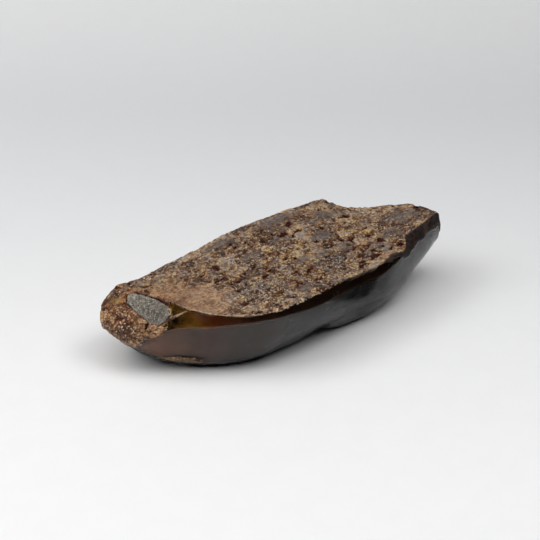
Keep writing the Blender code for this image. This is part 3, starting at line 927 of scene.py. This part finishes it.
def crust_colour(nodes, place, masks, grains, fine, fibre):
    """The crust's colour: ramps read at levels of grain, noise and fibre, laid over each other by the
    masks, then burnt, lightened low on the nose, darkened with painted shade in its gaps and, partly
    as painted shade, in its pits, with painted glints and a painted highlight along its lit rim."""
    mottle = nodes.noise(place, 0.30, 5.0, 0.6, 0.4)
    level = nodes.times_plus(grains["Tone"], 0.28, nodes.times(fine, 0.46))
    level = nodes.times_plus(fibre, 0.28, level)
    level = nodes.times_plus(nodes.minus(masks.tone, 0.5), 0.15, level)
    level = nodes.times_plus(nodes.minus(mottle, 0.5), 0.25, level)
    level = nodes.times_plus(nodes.minus(masks.domes, 0.6), 0.16, level)
    level = nodes.times_plus(level, 1.62, -0.3038)
    skin_level = nodes.times_plus(fibre, 0.30, nodes.times_plus(fine, 0.45, nodes.times(mottle, 0.25)))
    plate_level = nodes.times_plus(fine, 0.5, nodes.times(fibre, 0.5))
    cool = nodes.span(nodes.noise(place, 0.42, 3.0, 0.55), 0.42, 0.62)
    slate = nodes.ramp(level, "slate")
    golden = nodes.ramp(level, "golden")
    rusty = nodes.ramp(level, "rusty")
    burnt = nodes.span(nodes.noise(place, 0.75, 4.0, 0.65, 0.6), 0.50, 0.60, 0.0, 0.75)
    even = nodes.minus(1.0, nodes.most(nodes.times(masks.tan, 0.8), masks.smooth))
    cluster = nodes.span(nodes.noise(place, 0.55, 4.0, 0.65, 0.5), 0.44, 0.60, 0.15, 1.0)
    golden_grains = nodes.times(nodes.span(grains["Hue"], 0.66, 0.74, 0.0, 0.8), cluster)
    grey_grains = nodes.times(nodes.span(grains["Hue"], 0.26, 0.20, 0.0, 0.7), even)
    # Pale crust colour. It also paints the glints and reflections that some of the pale patches stand for.
    pale_and_glint = nodes.tint(fine, (0.20, 0.15, 0.115, 1.0), (0.50, 0.43, 0.37, 1.0))
    colour = nodes.layers(nodes.ramp(level, "brown"), [
        (cool, 0.6, slate),
        (masks.tan, 0.85, nodes.ramp(skin_level, "skin")),
        (masks.smooth, 0.85, nodes.ramp(plate_level, "plate")),
        (masks.grit, 0.7, nodes.ramp(grains["Tone"], "pepper")),
        (masks.gold, 0.75, golden),
        (masks.rust, 0.7, rusty),
        (masks.nose, 0.8, nodes.ramp(level, "nose")),
        (masks.nose, burnt, rusty),
        (golden_grains, even, golden),
        (grey_grains, nodes.blend(masks.nose, 1.0, 0.3), slate),
        (masks.pale, nodes.span(level, 0.36, 0.56, 0.25, 0.75), pale_and_glint),
        (masks.edge, nodes.span(level, 0.36, 0.56, 0.9, 0.1), (0.045, 0.014, 0.005, 1.0)),
    ])
    dim = nodes.blend(nodes.most(masks.tan, nodes.times(masks.nose, 0.8)), 0.74, 0.92)
    shadow = nodes.add("ShaderNodeCombineColor", {0: dim, 1: dim, 2: nodes.times(dim, 1.03)}).outputs[0]
    axes = nodes.axes(place)
    colour = nodes.layers(nodes.tint(1.0, colour, shadow, "MULTIPLY"), [
        (nodes.span(axes[0], -20.0, -34.0), nodes.span(axes[2], 8.0, 11.0), (0.82, 0.70, 0.60, 1.0)),
        (masks.nose, nodes.span(axes[2], 9.5, 7.0), (1.40, 1.32, 1.24, 1.0)),
    ], "MULTIPLY")
    # Painted shade: the gaps between grains are painted dark red-black, as the shade in these fine hollows.
    gaps = nodes.times(nodes.span(grains["Height"], 0.62, 0.30), nodes.blend(masks.loose, 0.15, 0.7))
    colour = nodes.tint(gaps, colour, (0.032, 0.007, 0.004, 1.0))
    # Pits, crevices, the groove beside the stone and its pocket are painted dark red: partly the dark amber
    # in them, partly painted shade in the hollows.
    colour = nodes.tint(nodes.span(masks.pits, 0.15, 0.65), colour, (0.034, 0.007, 0.004, 1.0))
    # Painted glints: a few fine grains away from the pits are painted pale, as highlights.
    glint = nodes.times(grains["Shine"], nodes.span(masks.pits, 0.4, 0.1, 0.0, 0.75))
    amber = nodes.ramp(nodes.times_plus(mottle, 0.4, nodes.times(fine, 0.6)), "honey")
    colour = nodes.layers(colour, [
        (glint, nodes.blend(masks.loose, 0.3, 1.0), (0.80, 0.68, 0.52, 1.0)),
        (masks.honey, 0.75, amber),
    ])
    colour = nodes.tint(masks.deep, colour, nodes.ramp(level, "broken"))
    lit = nodes.times(masks.lit_rim, nodes.span(fine, 0.38, 0.56, 0.1, 0.95))
    return nodes.tint(lit, colour, (0.62, 0.45, 0.27, 1.0))


def crust_roughness(nodes, masks, shine, smear):
    """How rough the crust is: dull grains, silky plates, and shiny glints, pits and broken edges."""
    rough = nodes.blend(masks.loose, 0.42, 0.55)
    rough = nodes.blend(masks.smooth, rough, nodes.span(smear, 0.3, 0.7, 0.24, 0.42))
    rough = nodes.blend(shine, rough, 0.14)
    rough = nodes.blend(nodes.span(masks.pits, 0.2, 0.8), rough, 0.22)
    rough = nodes.most(nodes.blend(nodes.most(masks.edge, masks.honey), rough, 0.28), 0.10)
    return nodes.blend(masks.deep, rough, 0.75)


def crust_material():
    """Bark-like crust: packed brown grains, tan skin, grey grit, golden and rust patches, smooth plates
    and dark red crevices whose darkness is partly painted shade, with painted glints. Its inner side,
    seen through the resin, is almost black."""
    material, nodes = new_material("Bark crust")
    place = nodes.place()
    masks = nodes.masks("crust_shape", "crust_colour", "crust_trim", "crust_extra")
    grains = nodes.group(grit_effect(), {"Place": place, "Grain Size": 0.55, "Shine Share": 0.06})
    marks = nodes.group(handling_effect(), {"Place": place, "Scratch Share": 0.4})
    fine = nodes.noise(place, 1.15, 6.0, 0.70)
    fibre = nodes.noise(nodes.mapped(place, (0.0, 0.0, 0.5), (0.5, 2.4, 1.5)), 1.0, 5.0, 0.7, 0.3)
    colour = crust_colour(nodes, place, masks, grains, fine, fibre)
    relief = nodes.times(grains["Height"], nodes.blend(masks.loose, 0.15, 0.5))
    relief = nodes.times_plus(fibre, 0.9, nodes.times_plus(fine, 1.5, relief))
    relief = nodes.minus(relief, nodes.times(marks["Scratch"], 0.2))
    nodes.principled({
        "Base Color": nodes.tint(nodes.backfacing(), colour, (0.012, 0.006, 0.004, 1.0)),
        "Roughness": crust_roughness(nodes, masks, grains["Shine"], marks["Smear"]),
        "IOR": 1.5, "Specular IOR Level": 0.5, "Normal": nodes.bump(relief, 0.8, 0.00028),
    })
    return material


def front_rounding(nodes, place):
    """A normal that rounds the front: its height is (13 - z)^2 / 48, plus 0.09 (7 - z)^2 below 7 mm, minus
    0.5 (m^2 / 6 + z - 6.5 - m) above 6.5 mm, with m = min(z - 6.5, 3), which fades towards both ends."""
    axes = nodes.axes(place)
    below = nodes.most(nodes.minus(13.0, axes[2]), 0.0)
    low = nodes.most(nodes.minus(7.0, axes[2]), 0.0)
    above = nodes.most(nodes.minus(axes[2], 6.5), 0.0)
    near = nodes.math("MINIMUM", above, 3.0)
    upper = nodes.times_plus(nodes.times(near, near), 1.0 / 6.0, nodes.minus(above, near))
    share = nodes.times(nodes.span(axes[0], -24.0, -6.0), nodes.span(axes[0], 10.0, 20.0, 1.0, 0.35))
    upper = nodes.times(upper, nodes.times(share, 0.5))
    lower = nodes.times(nodes.times(low, low), 0.09)
    lower = nodes.times_plus(nodes.times(below, below), 1.0 / 48.0, lower)
    return nodes.bump(nodes.minus(lower, upper), 1.0, MM)


def resin_material(settings):
    """Clear dark amber: plain transmission and absorption, with a silky surface that has hairline
    scratches, a smeared bloom and a soft ripple."""
    material, nodes = new_material("Clear amber")
    place = nodes.place()
    marks = nodes.group(handling_effect(), {"Place": place, "Scratch Share": 0.7})
    silk = settings.resin_roughness
    bloom = nodes.span(marks["Smear"], 0.35, 0.65)
    warm = nodes.tint(bloom, (0.98, 0.90, 0.80, 1.0), (0.90, 0.74, 0.56, 1.0))
    rough = nodes.span(marks["Smear"], 0.3, 0.7, silk * 0.7, silk * 1.3)
    relief = nodes.times_plus(nodes.noise(place, 2.4, 5.0, 0.6), 0.05, marks["Ripple"])
    relief = nodes.minus(relief, nodes.times(marks["Scratch"], 0.12))
    _, output = nodes.principled({
        "Base Color": warm, "Roughness": nodes.times_plus(marks["Scratch"], 0.12, rough), "IOR": 1.54,
        "Transmission Weight": 1.0, "Specular IOR Level": 0.065, "Coat Roughness": silk,
        "Coat Weight": nodes.masks("crust_extra").polish,
        "Normal": nodes.bump(relief, 0.6, 0.0002, Normal=front_rounding(nodes, place)),
    })
    depth = nodes.add("ShaderNodeVolumeAbsorption", {
        "Color": rgba(settings.absorption_colour), "Density": settings.absorption_density,
    })
    nodes.feed(output.inputs["Volume"], depth.outputs[0])
    return material


def stone_material():
    """Green-grey granular stone with a paler rim, a mauve side, painted shade on its sides down in its
    pocket, and painted glints.
    """
    material, nodes = new_material("Grey stone")
    place = nodes.place()
    masks = nodes.masks("stone_trim")
    grains = nodes.group(grit_effect(), {"Place": place, "Grain Size": 0.42, "Shine Share": 0.05})
    fine = nodes.noise(place, 2.2, 6.0, 0.7)
    mottle = nodes.noise(place, 0.55, 4.0, 0.55)
    level = nodes.times_plus(grains["Tone"], 0.55, nodes.times(fine, 0.3))
    level = nodes.times_plus(mottle, 0.15, level)
    colour = nodes.layers(nodes.ramp(level, "stone"), [
        (masks.shade, 0.55, (0.035, 0.026, 0.020, 1.0)),
        (masks.rim, nodes.span(fine, 0.4, 0.6, 0.0, 0.6), (0.34, 0.31, 0.27, 1.0)),
        (masks.mauve, 0.6, (0.15, 0.105, 0.11, 1.0)),
        # Painted shade: the stone's sides, down in its pocket, painted darker.
        (masks.worn, 0.7, (0.05, 0.035, 0.026, 1.0)),
        # Painted glints: a few grains painted pale, as highlights.
        (grains["Shine"], 0.8, (0.55, 0.52, 0.46, 1.0)),
    ])
    rough = nodes.blend(grains["Shine"], nodes.span(fine, 0.3, 0.7, 0.55, 0.8), 0.25)
    bump = nodes.bump(nodes.times_plus(fine, 0.5, grains["Height"]), 0.6, 0.00018)
    nodes.principled({"Base Color": colour, "Roughness": rough, "IOR": 1.5, "Normal": bump})
    return material


def cloud_material(name, dark, light, far):
    """A cloudy sheet inside the resin: soft streaks of two colours and a third toward the thin end, with a
    painted glow that dims along the lump, and thinning out at its rim."""
    material, nodes = new_material(name)
    place = nodes.place()
    masks = nodes.masks("cloud_trim")
    curls = nodes.noise(place, 0.11, 2.0, 0.4, 0.3)
    flecks = nodes.noise(place, 2.5, 4.0, 0.6)
    share = nodes.span(nodes.times_plus(flecks, 0.15, nodes.times(curls, 0.85)), 0.34, 0.64)
    colour = nodes.tint(masks.far, nodes.tint(share, rgba(dark), rgba(light)), rgba(far))
    nodes.principled({
        "Base Color": nodes.tint(masks.glow, (0.002, 0.001, 0.001, 1.0), colour),
        "Roughness": nodes.span(flecks, 0.3, 0.7, 0.7, 0.95), "IOR": 1.5,
        "Alpha": nodes.times(masks.cover, nodes.span(curls, 0.2, 0.5, 0.92, 1.0)),
        "Normal": nodes.bump(curls, 0.4, 0.0003),
    })
    return material


def floor_material(settings):
    """Pale matt paper, see-through from behind, with painted shade and light: darker away from the camera
    up to where it rises, then lighter again up the curve.
    """
    material, nodes = new_material("Studio paper")
    place = nodes.place()
    near = rgba(settings.paper_near)
    fibre = nodes.noise(place, 0.15, 5.0, 0.6)
    away = nodes.vector_math("DOT_PRODUCT", place, AWAY)["Value"]
    # Painted shade: the paper darkens away from the camera, as light falls off; painted light lightens it
    # again up the curve.
    graded = nodes.tint(nodes.span(away, -95.0, 125.0), near, rgba(settings.paper_far_shade))
    graded = nodes.tint(nodes.span(away, 120.0, 230.0, 0.0, 0.75), graded, near)
    colour = nodes.tint(nodes.span(fibre, 0.3, 0.7, 0.0, 0.04), graded, (0.55, 0.55, 0.55, 1.0))
    shader, output = nodes.principled({
        "Base Color": colour, "Roughness": 0.9, "Specular IOR Level": 0.1,
        "Normal": nodes.bump(fibre, 0.05, 0.0003),
    })
    clear = nodes.add("ShaderNodeBsdfTransparent").outputs[0]
    mixed = nodes.add("ShaderNodeMixShader", {0: nodes.backfacing(), 1: shader.outputs[0], 2: clear})
    nodes.feed(output.inputs["Surface"], mixed.outputs[0])
    return material


# Pieces ----------------------------------------------------------------------------------------

def make_lump(settings):
    """The amber lump: one closed skin, crust on top and clear resin below."""
    points, crust, masks = lump_surface(settings)
    quads, triangles = closed_skin(*points.shape[:2])
    materials = [crust_material(), resin_material(settings)]
    piece = new_piece("amber_lump", skin_points(points), quads, triangles, materials, "amber")
    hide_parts("amber")
    depth = skin_values(crust)
    face_depth = np.concatenate([depth[quads].mean(axis=1), depth[triangles].mean(axis=1)])
    piece.data.polygons.foreach_set("material_index", (face_depth < 0.0).astype(np.int32))
    values = {name: skin_values(mask) for name, mask in masks.items()}
    for layer in ("crust_shape", "crust_colour", "crust_trim", "crust_extra"):
        store_masks(piece.data, layer, values)


def stone_surface(settings):
    """The stone's points: its outline shrunk or kept by a rounded-slab profile, out along the top, down
    the side and back under, plus grainy relief; and its rim and side masks."""
    count = 150
    corners = np.array(STONE_OUTLINE, float)
    closed = np.vstack([corners, corners[:1]])
    lengths = np.concatenate([[0.0], np.cumsum(np.linalg.norm(np.diff(closed, axis=0), axis=1))])
    along = np.linspace(0.0, lengths[-1], count, endpoint=False)
    outline = np.stack([np.interp(along, lengths, closed[:, axis]) for axis in range(2)], axis=-1)
    level = np.concatenate([outline, np.zeros((count, 1))], axis=1)
    ragged = 0.40 * rough_noise(level, 1.6, 65, gain=0.7) - 0.10
    outline = outline * (1.0 + ragged / np.linalg.norm(outline, axis=-1))[:, None]
    bevel = settings.bevel / MM
    half = STONE_THICKNESS / 2
    turn = np.linspace(0.0, math.pi / 2, 9)
    over = bevel * (1 - np.sin(turn))
    under = bevel * (1 - np.cos(turn))
    inset = np.concatenate([np.full(20, bevel), over, np.zeros(7), over[::-1], np.full(10, bevel)])
    rise = np.concatenate([
        np.full(20, half), half - under, np.linspace(half - bevel, bevel - half, 9)[1:-1],
        (under - half)[::-1], np.full(10, -half),
    ])
    spread = np.concatenate([np.linspace(0.05, 0.985, 20), np.ones(25), np.linspace(0.95, 0.05, 10)])
    radius = np.linalg.norm(outline, axis=-1)
    shrink = (1.0 - inset[:, None] / radius[None, :]) * spread[:, None]
    grid = np.concatenate([
        outline[None] * shrink[..., None], np.broadcast_to(rise[:, None, None], (len(rise), count, 1)),
    ], axis=-1)
    ends = np.stack([grid[0].mean(axis=0), grid[-1].mean(axis=0)])
    x, y, z = (grid[..., axis] for axis in range(3))
    masks = {
        "rim": np.exp(-((np.abs(z) - (half - bevel * 0.3)) / 0.5) ** 2) * smooth_step(0.75, 0.97, shrink),
        "mauve": smooth_step(0.6, 1.4, -x) * smooth_step(0.85, 0.98, shrink),
        # Painted shade on the stone's sides below its top, down in the pocket.
        "worn": smooth_step(half - 0.8, half - 2.2, z),
        "shade": smooth_step(4.0, -6.0, y + 1.5 * rough_noise(grid, 2.5, 63)),
    }
    near, second, own = grain_noise(grid * np.array([1.0, 0.8, 1.0]), 1.9, 61)
    rough = 0.14 * rough_noise(grid, 1.3, 62, gain=0.6) + 0.14 * (own - 0.5)
    rough -= 0.12 * np.exp(-(second - near) / 0.08)
    dome = 0.10 - 0.17 * np.abs(x - 0.5 + 0.18 * y)
    grid = grid + grid_normals(grid) * (rough - 0.06)[..., None]
    grid[..., 2] += np.where(rise[:, None] > 0, dome, 0.0)
    rotation, centre = stone_place()
    points = np.concatenate([grid.reshape(-1, 3), ends]) @ rotation.T + centre
    return np.clip(points, STONE_LOW, STONE_HIGH), grid.shape[:2], masks


def make_stone(settings):
    """The stone chip lodged in the top of the blunt end."""
    points, shape, masks = stone_surface(settings)
    piece = new_piece("grey_stone_chip", points, *closed_skin(*shape), [stone_material()], "grey_stone")
    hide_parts("stone_chip")
    store_masks(piece.data, "stone_trim", {name: skin_values(mask) for name, mask in masks.items()})


def cloud_sheet(name, glow, first, last, depth, colours, seed):
    """A cloudy sheet that follows the lump's surface along its glow's x and between two steps round the
    section: point = surface - normal x (depth + noise), with a second skin just behind it, closed at its
    rim."""
    grid = np.roll(plain_grid(), -first, axis=1)
    rows = (grid[:, 0, 0] > glow[0][0]) & (grid[:, 0, 0] < glow[-1][0])
    sheet = grid[rows][::2, : last - first]
    normals = grid_normals(grid)[rows][::2, : last - first]
    along, across = sheet.shape[:2]
    u = np.linspace(0.0, 1.0, along)[:, None]
    v = np.linspace(0.0, 1.0, across)[None, :]
    sunk = depth + 0.12 * rough_noise(sheet, 6.0, seed, octaves=2)
    front = sheet - normals * sunk[..., None]
    back = front - normals * CLOUD_THICKNESS
    rings = np.concatenate([front, back[:, ::-1]], axis=1)
    material = cloud_material(name.replace("_", " "), *colours)
    piece = new_piece(name, skin_points(rings), *closed_skin(along, 2 * across), [material], "amber")
    ragged = 0.12 * rough_noise(sheet, 2.5, seed + 1)
    cover = smooth_step(0.0, 0.16, u + ragged) * (1.0 - smooth_step(0.8, 1.0, u + ragged))
    masks = {
        "cover": cover * smooth_step(0.0, 0.08, np.minimum(v, 1 - v) + 0.2 * ragged),
        "glow": np.interp(sheet[..., 0] + 1.5 * rough_noise(sheet, 5.0, seed + 3), *zip(*glow)),
        "far": smooth_step(-32.0, -27.0, sheet[..., 0]),
    }
    for kind, front_mask in masks.items():
        both = np.concatenate([front_mask, front_mask[:, ::-1]], axis=1)
        masks[kind] = np.concatenate([both.ravel(), [0.0, 0.0]])
    store_masks(piece.data, "cloud_trim", masks)


def make_clouds(settings):
    """The cloudy sheets sealed in the resin: an olive one behind the window and the left bevel, and a
    red-brown one behind the left of the front face."""
    olive = (settings.olive_dark, settings.olive_light, settings.olive_far)
    red = (settings.red_dark, settings.red_light, settings.red_far)
    size = sum(STEPS.values())
    bevel_start = size - STEPS["bevel"]
    front_start = bevel_start - STEPS["front"]
    cloud_sheet("olive_cloud", OLIVE_GLOW, bevel_start - 5, size + 44, 0.55, olive, 71)
    cloud_sheet("red_cloud", RED_GLOW, front_start + 2, bevel_start + 2, 0.83, red, 75)


# Stage -----------------------------------------------------------------------------------------

# Places and lengths of the stage are in metres, as Blender has them
CAMERA_PLACE = (-0.21181, -0.24854, 0.20254)
CAMERA_RIGHT = (0.76604, -0.64279, 0.0)
CAMERA_UP = (0.32139, 0.38302, 0.86603)
AWAY = (0.64279, 0.76604, 0.0)  # along the floor, from the camera to the lump
FLOOR_REACH = 0.9
FLOOR_DROP = 0.00006  # the paper lies just under the lump's rest face
# The lights: place, target, the settings of their size and power, and whether reflections show them
LIGHTS = {
    "left_light": ((-0.256, 0.084, 0.45), (-0.256, 0.084, 0.0), "wide_size", "left_power", False),
    "right_light": ((0.127, -0.237, 0.45), (0.127, -0.237, 0.0), "light_size", "right_power", False),
    "middle_light": ((-0.064, -0.077, 0.45), (-0.064, -0.077, 0.0), "light_size", "middle_power", False),
    "glow_light": ((-0.300, 0.187, 0.354), (0.0, 0.0, 0.0), "light_size", "glow_power", True),
}


def make_floor(settings):
    """A paper sweep: flat under the lump, then an arc up behind it. The profile runs away from the camera
    and is carried sideways."""
    radius = settings.sweep_radius
    flat = np.stack([np.linspace(-FLOOR_REACH, settings.sweep_start, 30), np.zeros(30)], axis=-1)
    turn = np.linspace(0.0, math.radians(72.0), 41)[1:]
    curve = np.stack([settings.sweep_start + radius * np.sin(turn), radius * (1 - np.cos(turn))], axis=-1)
    profile = np.concatenate([flat, curve])
    sideways = np.linspace(-FLOOR_REACH, FLOOR_REACH, 25)
    grid = profile[:, None, :1] * np.array(AWAY) + sideways[None, :, None] * np.array(CAMERA_RIGHT)
    grid[..., 2] = profile[:, None, 1] - FLOOR_DROP
    rows, columns = grid.shape[:2]
    corner = np.arange(rows - 1)[:, None] * columns + np.arange(columns - 1)[None, :]
    quads = np.stack([corner, corner + 1, corner + columns + 1, corner + columns], axis=-1)
    mesh = bpy.data.meshes.new("paper_sweep")
    mesh.from_pydata(grid.reshape(-1, 3), [], quads.reshape(-1, 4))
    mesh.polygons.foreach_set("use_smooth", np.ones(len(mesh.polygons), bool))
    mesh.materials.append(floor_material(settings))
    sweep = bpy.data.objects.new("paper_sweep", mesh)
    bpy.context.scene.collection.objects.link(sweep)


def soft_light(name, place, target, size, power, seen):
    """A square white light at a place, turned to a target. One that isn't seen lights the scene softly and
    shows in no reflection and through no glass."""
    data = bpy.data.lights.new(name, "AREA")
    data.shape = "SQUARE"
    data.size = size
    data.energy = power
    light = bpy.data.objects.new(name, data)
    light.location = place
    light.rotation_euler = (Vector(place) - Vector(target)).to_track_quat("Z", "Y").to_euler()
    light.visible_glossy = seen
    light.visible_transmission = seen
    bpy.context.scene.collection.objects.link(light)


def make_camera(settings):
    """A long lens looking down at the lump from its front left."""
    data = bpy.data.cameras.new("studio_camera")
    data.lens = settings.lens
    data.sensor_width = 36.0
    data.clip_start = 0.01
    data.clip_end = 20.0
    camera = bpy.data.objects.new("studio_camera", data)
    right = Vector(CAMERA_RIGHT)
    up = Vector(CAMERA_UP)
    turn = Matrix((right, up, right.cross(up))).transposed()
    camera.matrix_world = Matrix.Translation(CAMERA_PLACE) @ turn.to_4x4()
    bpy.context.scene.collection.objects.link(camera)
    bpy.context.scene.camera = camera


def make_world(settings):
    """Dim, even light from all round."""
    world = bpy.data.worlds.new("studio_world")
    world.use_nodes = True
    world.node_tree.nodes.clear()
    nodes = Nodes(world.node_tree)
    white = (1.0, 1.0, 1.0, 1.0)
    sky = nodes.add("ShaderNodeBackground", {"Color": white, "Strength": settings.world_strength})
    nodes.add("ShaderNodeOutputWorld", {"Surface": sky.outputs[0]})
    bpy.context.scene.world = world


# Settings --------------------------------------------------------------------------------------

class RAWAMBER_PG_lump(bpy.types.PropertyGroup):
    """Sizes and colours of the amber lump."""

    grain_height: FloatProperty(
        name="Grain height", description="How far the crust's grains stand up", default=0.00013,
        min=0.0, unit="LENGTH", precision=5,
    )
    pit_depth: FloatProperty(
        name="Pit depth", description="Depth of a pit in the crust", default=0.00055,
        min=0.0, unit="LENGTH", precision=5,
    )
    crust_thickness: FloatProperty(
        name="Crust thickness", description="How far the crust stands over the clear resin",
        default=0.00035, min=0.0, unit="LENGTH", precision=5,
    )
    resin_roughness: FloatProperty(
        name="Resin roughness", description="How silky the clear resin is", default=0.16, min=0.02, max=1.0,
    )
    absorption_colour: FloatVectorProperty(
        name="Resin tint", description="Colour that the resin lets through", default=(0.80, 0.68, 0.10),
        subtype="COLOR", min=0.0, max=1.0,
    )
    absorption_density: FloatProperty(
        name="Resin depth", description="How fast the resin darkens with depth, per metre",
        default=1900.0, min=0.0,
    )


class RAWAMBER_PG_stone(bpy.types.PropertyGroup):
    """Sizes of the stone chip."""

    bevel: FloatProperty(
        name="Bevel", description="Rounding of the stone's rim", default=0.00028, min=0.0001,
        unit="LENGTH", precision=5,
    )


class RAWAMBER_PG_clouds(bpy.types.PropertyGroup):
    """Colours of the cloudy sheets sealed in the resin."""

    olive_dark: FloatVectorProperty(
        name="Olive, dark", description="Dark streaks of the olive cloud", default=(0.78, 0.48, 0.14),
        subtype="COLOR", min=0.0, max=1.0,
    )
    olive_light: FloatVectorProperty(
        name="Olive, light", description="Light streaks of the olive cloud", default=(0.98, 0.72, 0.24),
        subtype="COLOR", min=0.0, max=1.0,
    )
    olive_far: FloatVectorProperty(
        name="Olive, far", description="The olive cloud toward the thin end", default=(0.78, 0.20, 0.05),
        subtype="COLOR", min=0.0, max=1.0,
    )
    red_dark: FloatVectorProperty(
        name="Red, dark", description="Dark streaks of the red cloud", default=(0.38, 0.15, 0.11),
        subtype="COLOR", min=0.0, max=1.0,
    )
    red_light: FloatVectorProperty(
        name="Red, light", description="Light streaks of the red cloud", default=(0.56, 0.25, 0.18),
        subtype="COLOR", min=0.0, max=1.0,
    )
    red_far: FloatVectorProperty(
        name="Red, far", description="The red cloud toward the thin end", default=(0.42, 0.12, 0.17),
        subtype="COLOR", min=0.0, max=1.0,
    )


class RAWAMBER_PG_stage(bpy.types.PropertyGroup):
    """Floor, light and camera."""

    paper_near: FloatVectorProperty(
        name="Paper, near", description="Colour of the paper in front", default=(0.872, 0.872, 0.872),
        subtype="COLOR", min=0.0, max=1.0,
    )
    # Painted shade: the darker paper colour where it rises stands in for light falling off.
    paper_far_shade: FloatVectorProperty(
        name="Paper, far", description="Colour of the paper where it rises", default=(0.675, 0.682, 0.693),
        subtype="COLOR", min=0.0, max=1.0,
    )
    sweep_start: FloatProperty(
        name="Sweep start", description="Where the paper starts to rise, behind the lump", default=0.12,
        unit="LENGTH",
    )
    sweep_radius: FloatProperty(
        name="Sweep radius", description="Radius of the paper's curve", default=0.24, min=0.01,
        unit="LENGTH",
    )
    left_power: FloatProperty(
        name="Left light", description="Power of the wide light", default=1.72, unit="POWER",
    )
    right_power: FloatProperty(
        name="Right light", description="Power of the right light", default=1.16, unit="POWER",
    )
    middle_power: FloatProperty(
        name="Middle light", description="Power of the light above", default=0.5, unit="POWER",
    )
    glow_power: FloatProperty(
        name="Glow light", description="Power of the light seen in the resin", default=0.78, unit="POWER",
    )
    wide_size: FloatProperty(
        name="Wide size", description="Side of the wide light", default=0.6, unit="LENGTH",
    )
    light_size: FloatProperty(
        name="Light size", description="Side of the other lights", default=0.28, unit="LENGTH",
    )
    world_strength: FloatProperty(
        name="Ambient", description="Strength of the light from all round", default=0.02,
    )
    lens: FloatProperty(
        name="Lens", description="Focal length", default=105.0, unit="CAMERA",
    )


# Operators -------------------------------------------------------------------------------------

class RAWAMBER_OT_lump(bpy.types.Operator):
    """Build the amber lump with its crust"""

    bl_idname = "raw_amber.build_lump"
    bl_label = "Build the amber lump"

    def execute(self, context):
        make_lump(context.scene.raw_amber_lump)
        return {"FINISHED"}


class RAWAMBER_OT_stone(bpy.types.Operator):
    """Build the grey stone chip lodged in the lump"""

    bl_idname = "raw_amber.build_stone"
    bl_label = "Build the stone chip"

    def execute(self, context):
        make_stone(context.scene.raw_amber_stone)
        return {"FINISHED"}


class RAWAMBER_OT_clouds(bpy.types.Operator):
    """Build the cloudy sheets sealed in the clear resin"""

    bl_idname = "raw_amber.build_clouds"
    bl_label = "Build the clouds in the resin"

    def execute(self, context):
        make_clouds(context.scene.raw_amber_clouds)
        return {"FINISHED"}


class RAWAMBER_OT_stage(bpy.types.Operator):
    """Build the paper sweep, the lights and the camera"""

    bl_idname = "raw_amber.build_stage"
    bl_label = "Build the stage"

    def execute(self, context):
        settings = context.scene.raw_amber_stage
        make_floor(settings)
        make_world(settings)
        for name, (place, target, size, power, seen) in LIGHTS.items():
            soft_light(name, place, target, getattr(settings, size), getattr(settings, power), seen)
        make_camera(settings)
        context.scene.view_settings.view_transform = "Standard"
        return {"FINISHED"}


class RAWAMBER_PT_sidebar(bpy.types.Panel):
    """Settings and builders of the raw amber piece"""

    bl_label = "Raw amber piece"
    bl_idname = "RAWAMBER_PT_sidebar"
    bl_space_type = "VIEW_3D"
    bl_region_type = "UI"
    bl_category = "Amber"

    def draw(self, context):
        for operator, _, settings in PARTS:
            box = self.layout.box()
            group = getattr(context.scene, settings)
            for name in group.__annotations__:
                box.prop(group, name)
            box.operator(operator.bl_idname)


PARTS = (
    (RAWAMBER_OT_lump, RAWAMBER_PG_lump, "raw_amber_lump"),
    (RAWAMBER_OT_stone, RAWAMBER_PG_stone, "raw_amber_stone"),
    (RAWAMBER_OT_clouds, RAWAMBER_PG_clouds, "raw_amber_clouds"),
    (RAWAMBER_OT_stage, RAWAMBER_PG_stage, "raw_amber_stage"),
)


def register():
    """Register the settings, the builders and the panel."""
    for operator, group, name in PARTS:
        bpy.utils.register_class(group)
        setattr(bpy.types.Scene, name, PointerProperty(type=group))
        bpy.utils.register_class(operator)
    bpy.utils.register_class(RAWAMBER_PT_sidebar)


def unregister():
    """Undo what register did."""
    bpy.utils.unregister_class(RAWAMBER_PT_sidebar)
    for operator, group, name in reversed(PARTS):
        bpy.utils.unregister_class(operator)
        delattr(bpy.types.Scene, name)
        bpy.utils.unregister_class(group)


def main():
    """Build every piece in order."""
    register()
    bpy.ops.raw_amber.build_lump()
    bpy.ops.raw_amber.build_stone()
    bpy.ops.raw_amber.build_clouds()
    bpy.ops.raw_amber.build_stage()


if __name__ == "__main__":
    main()
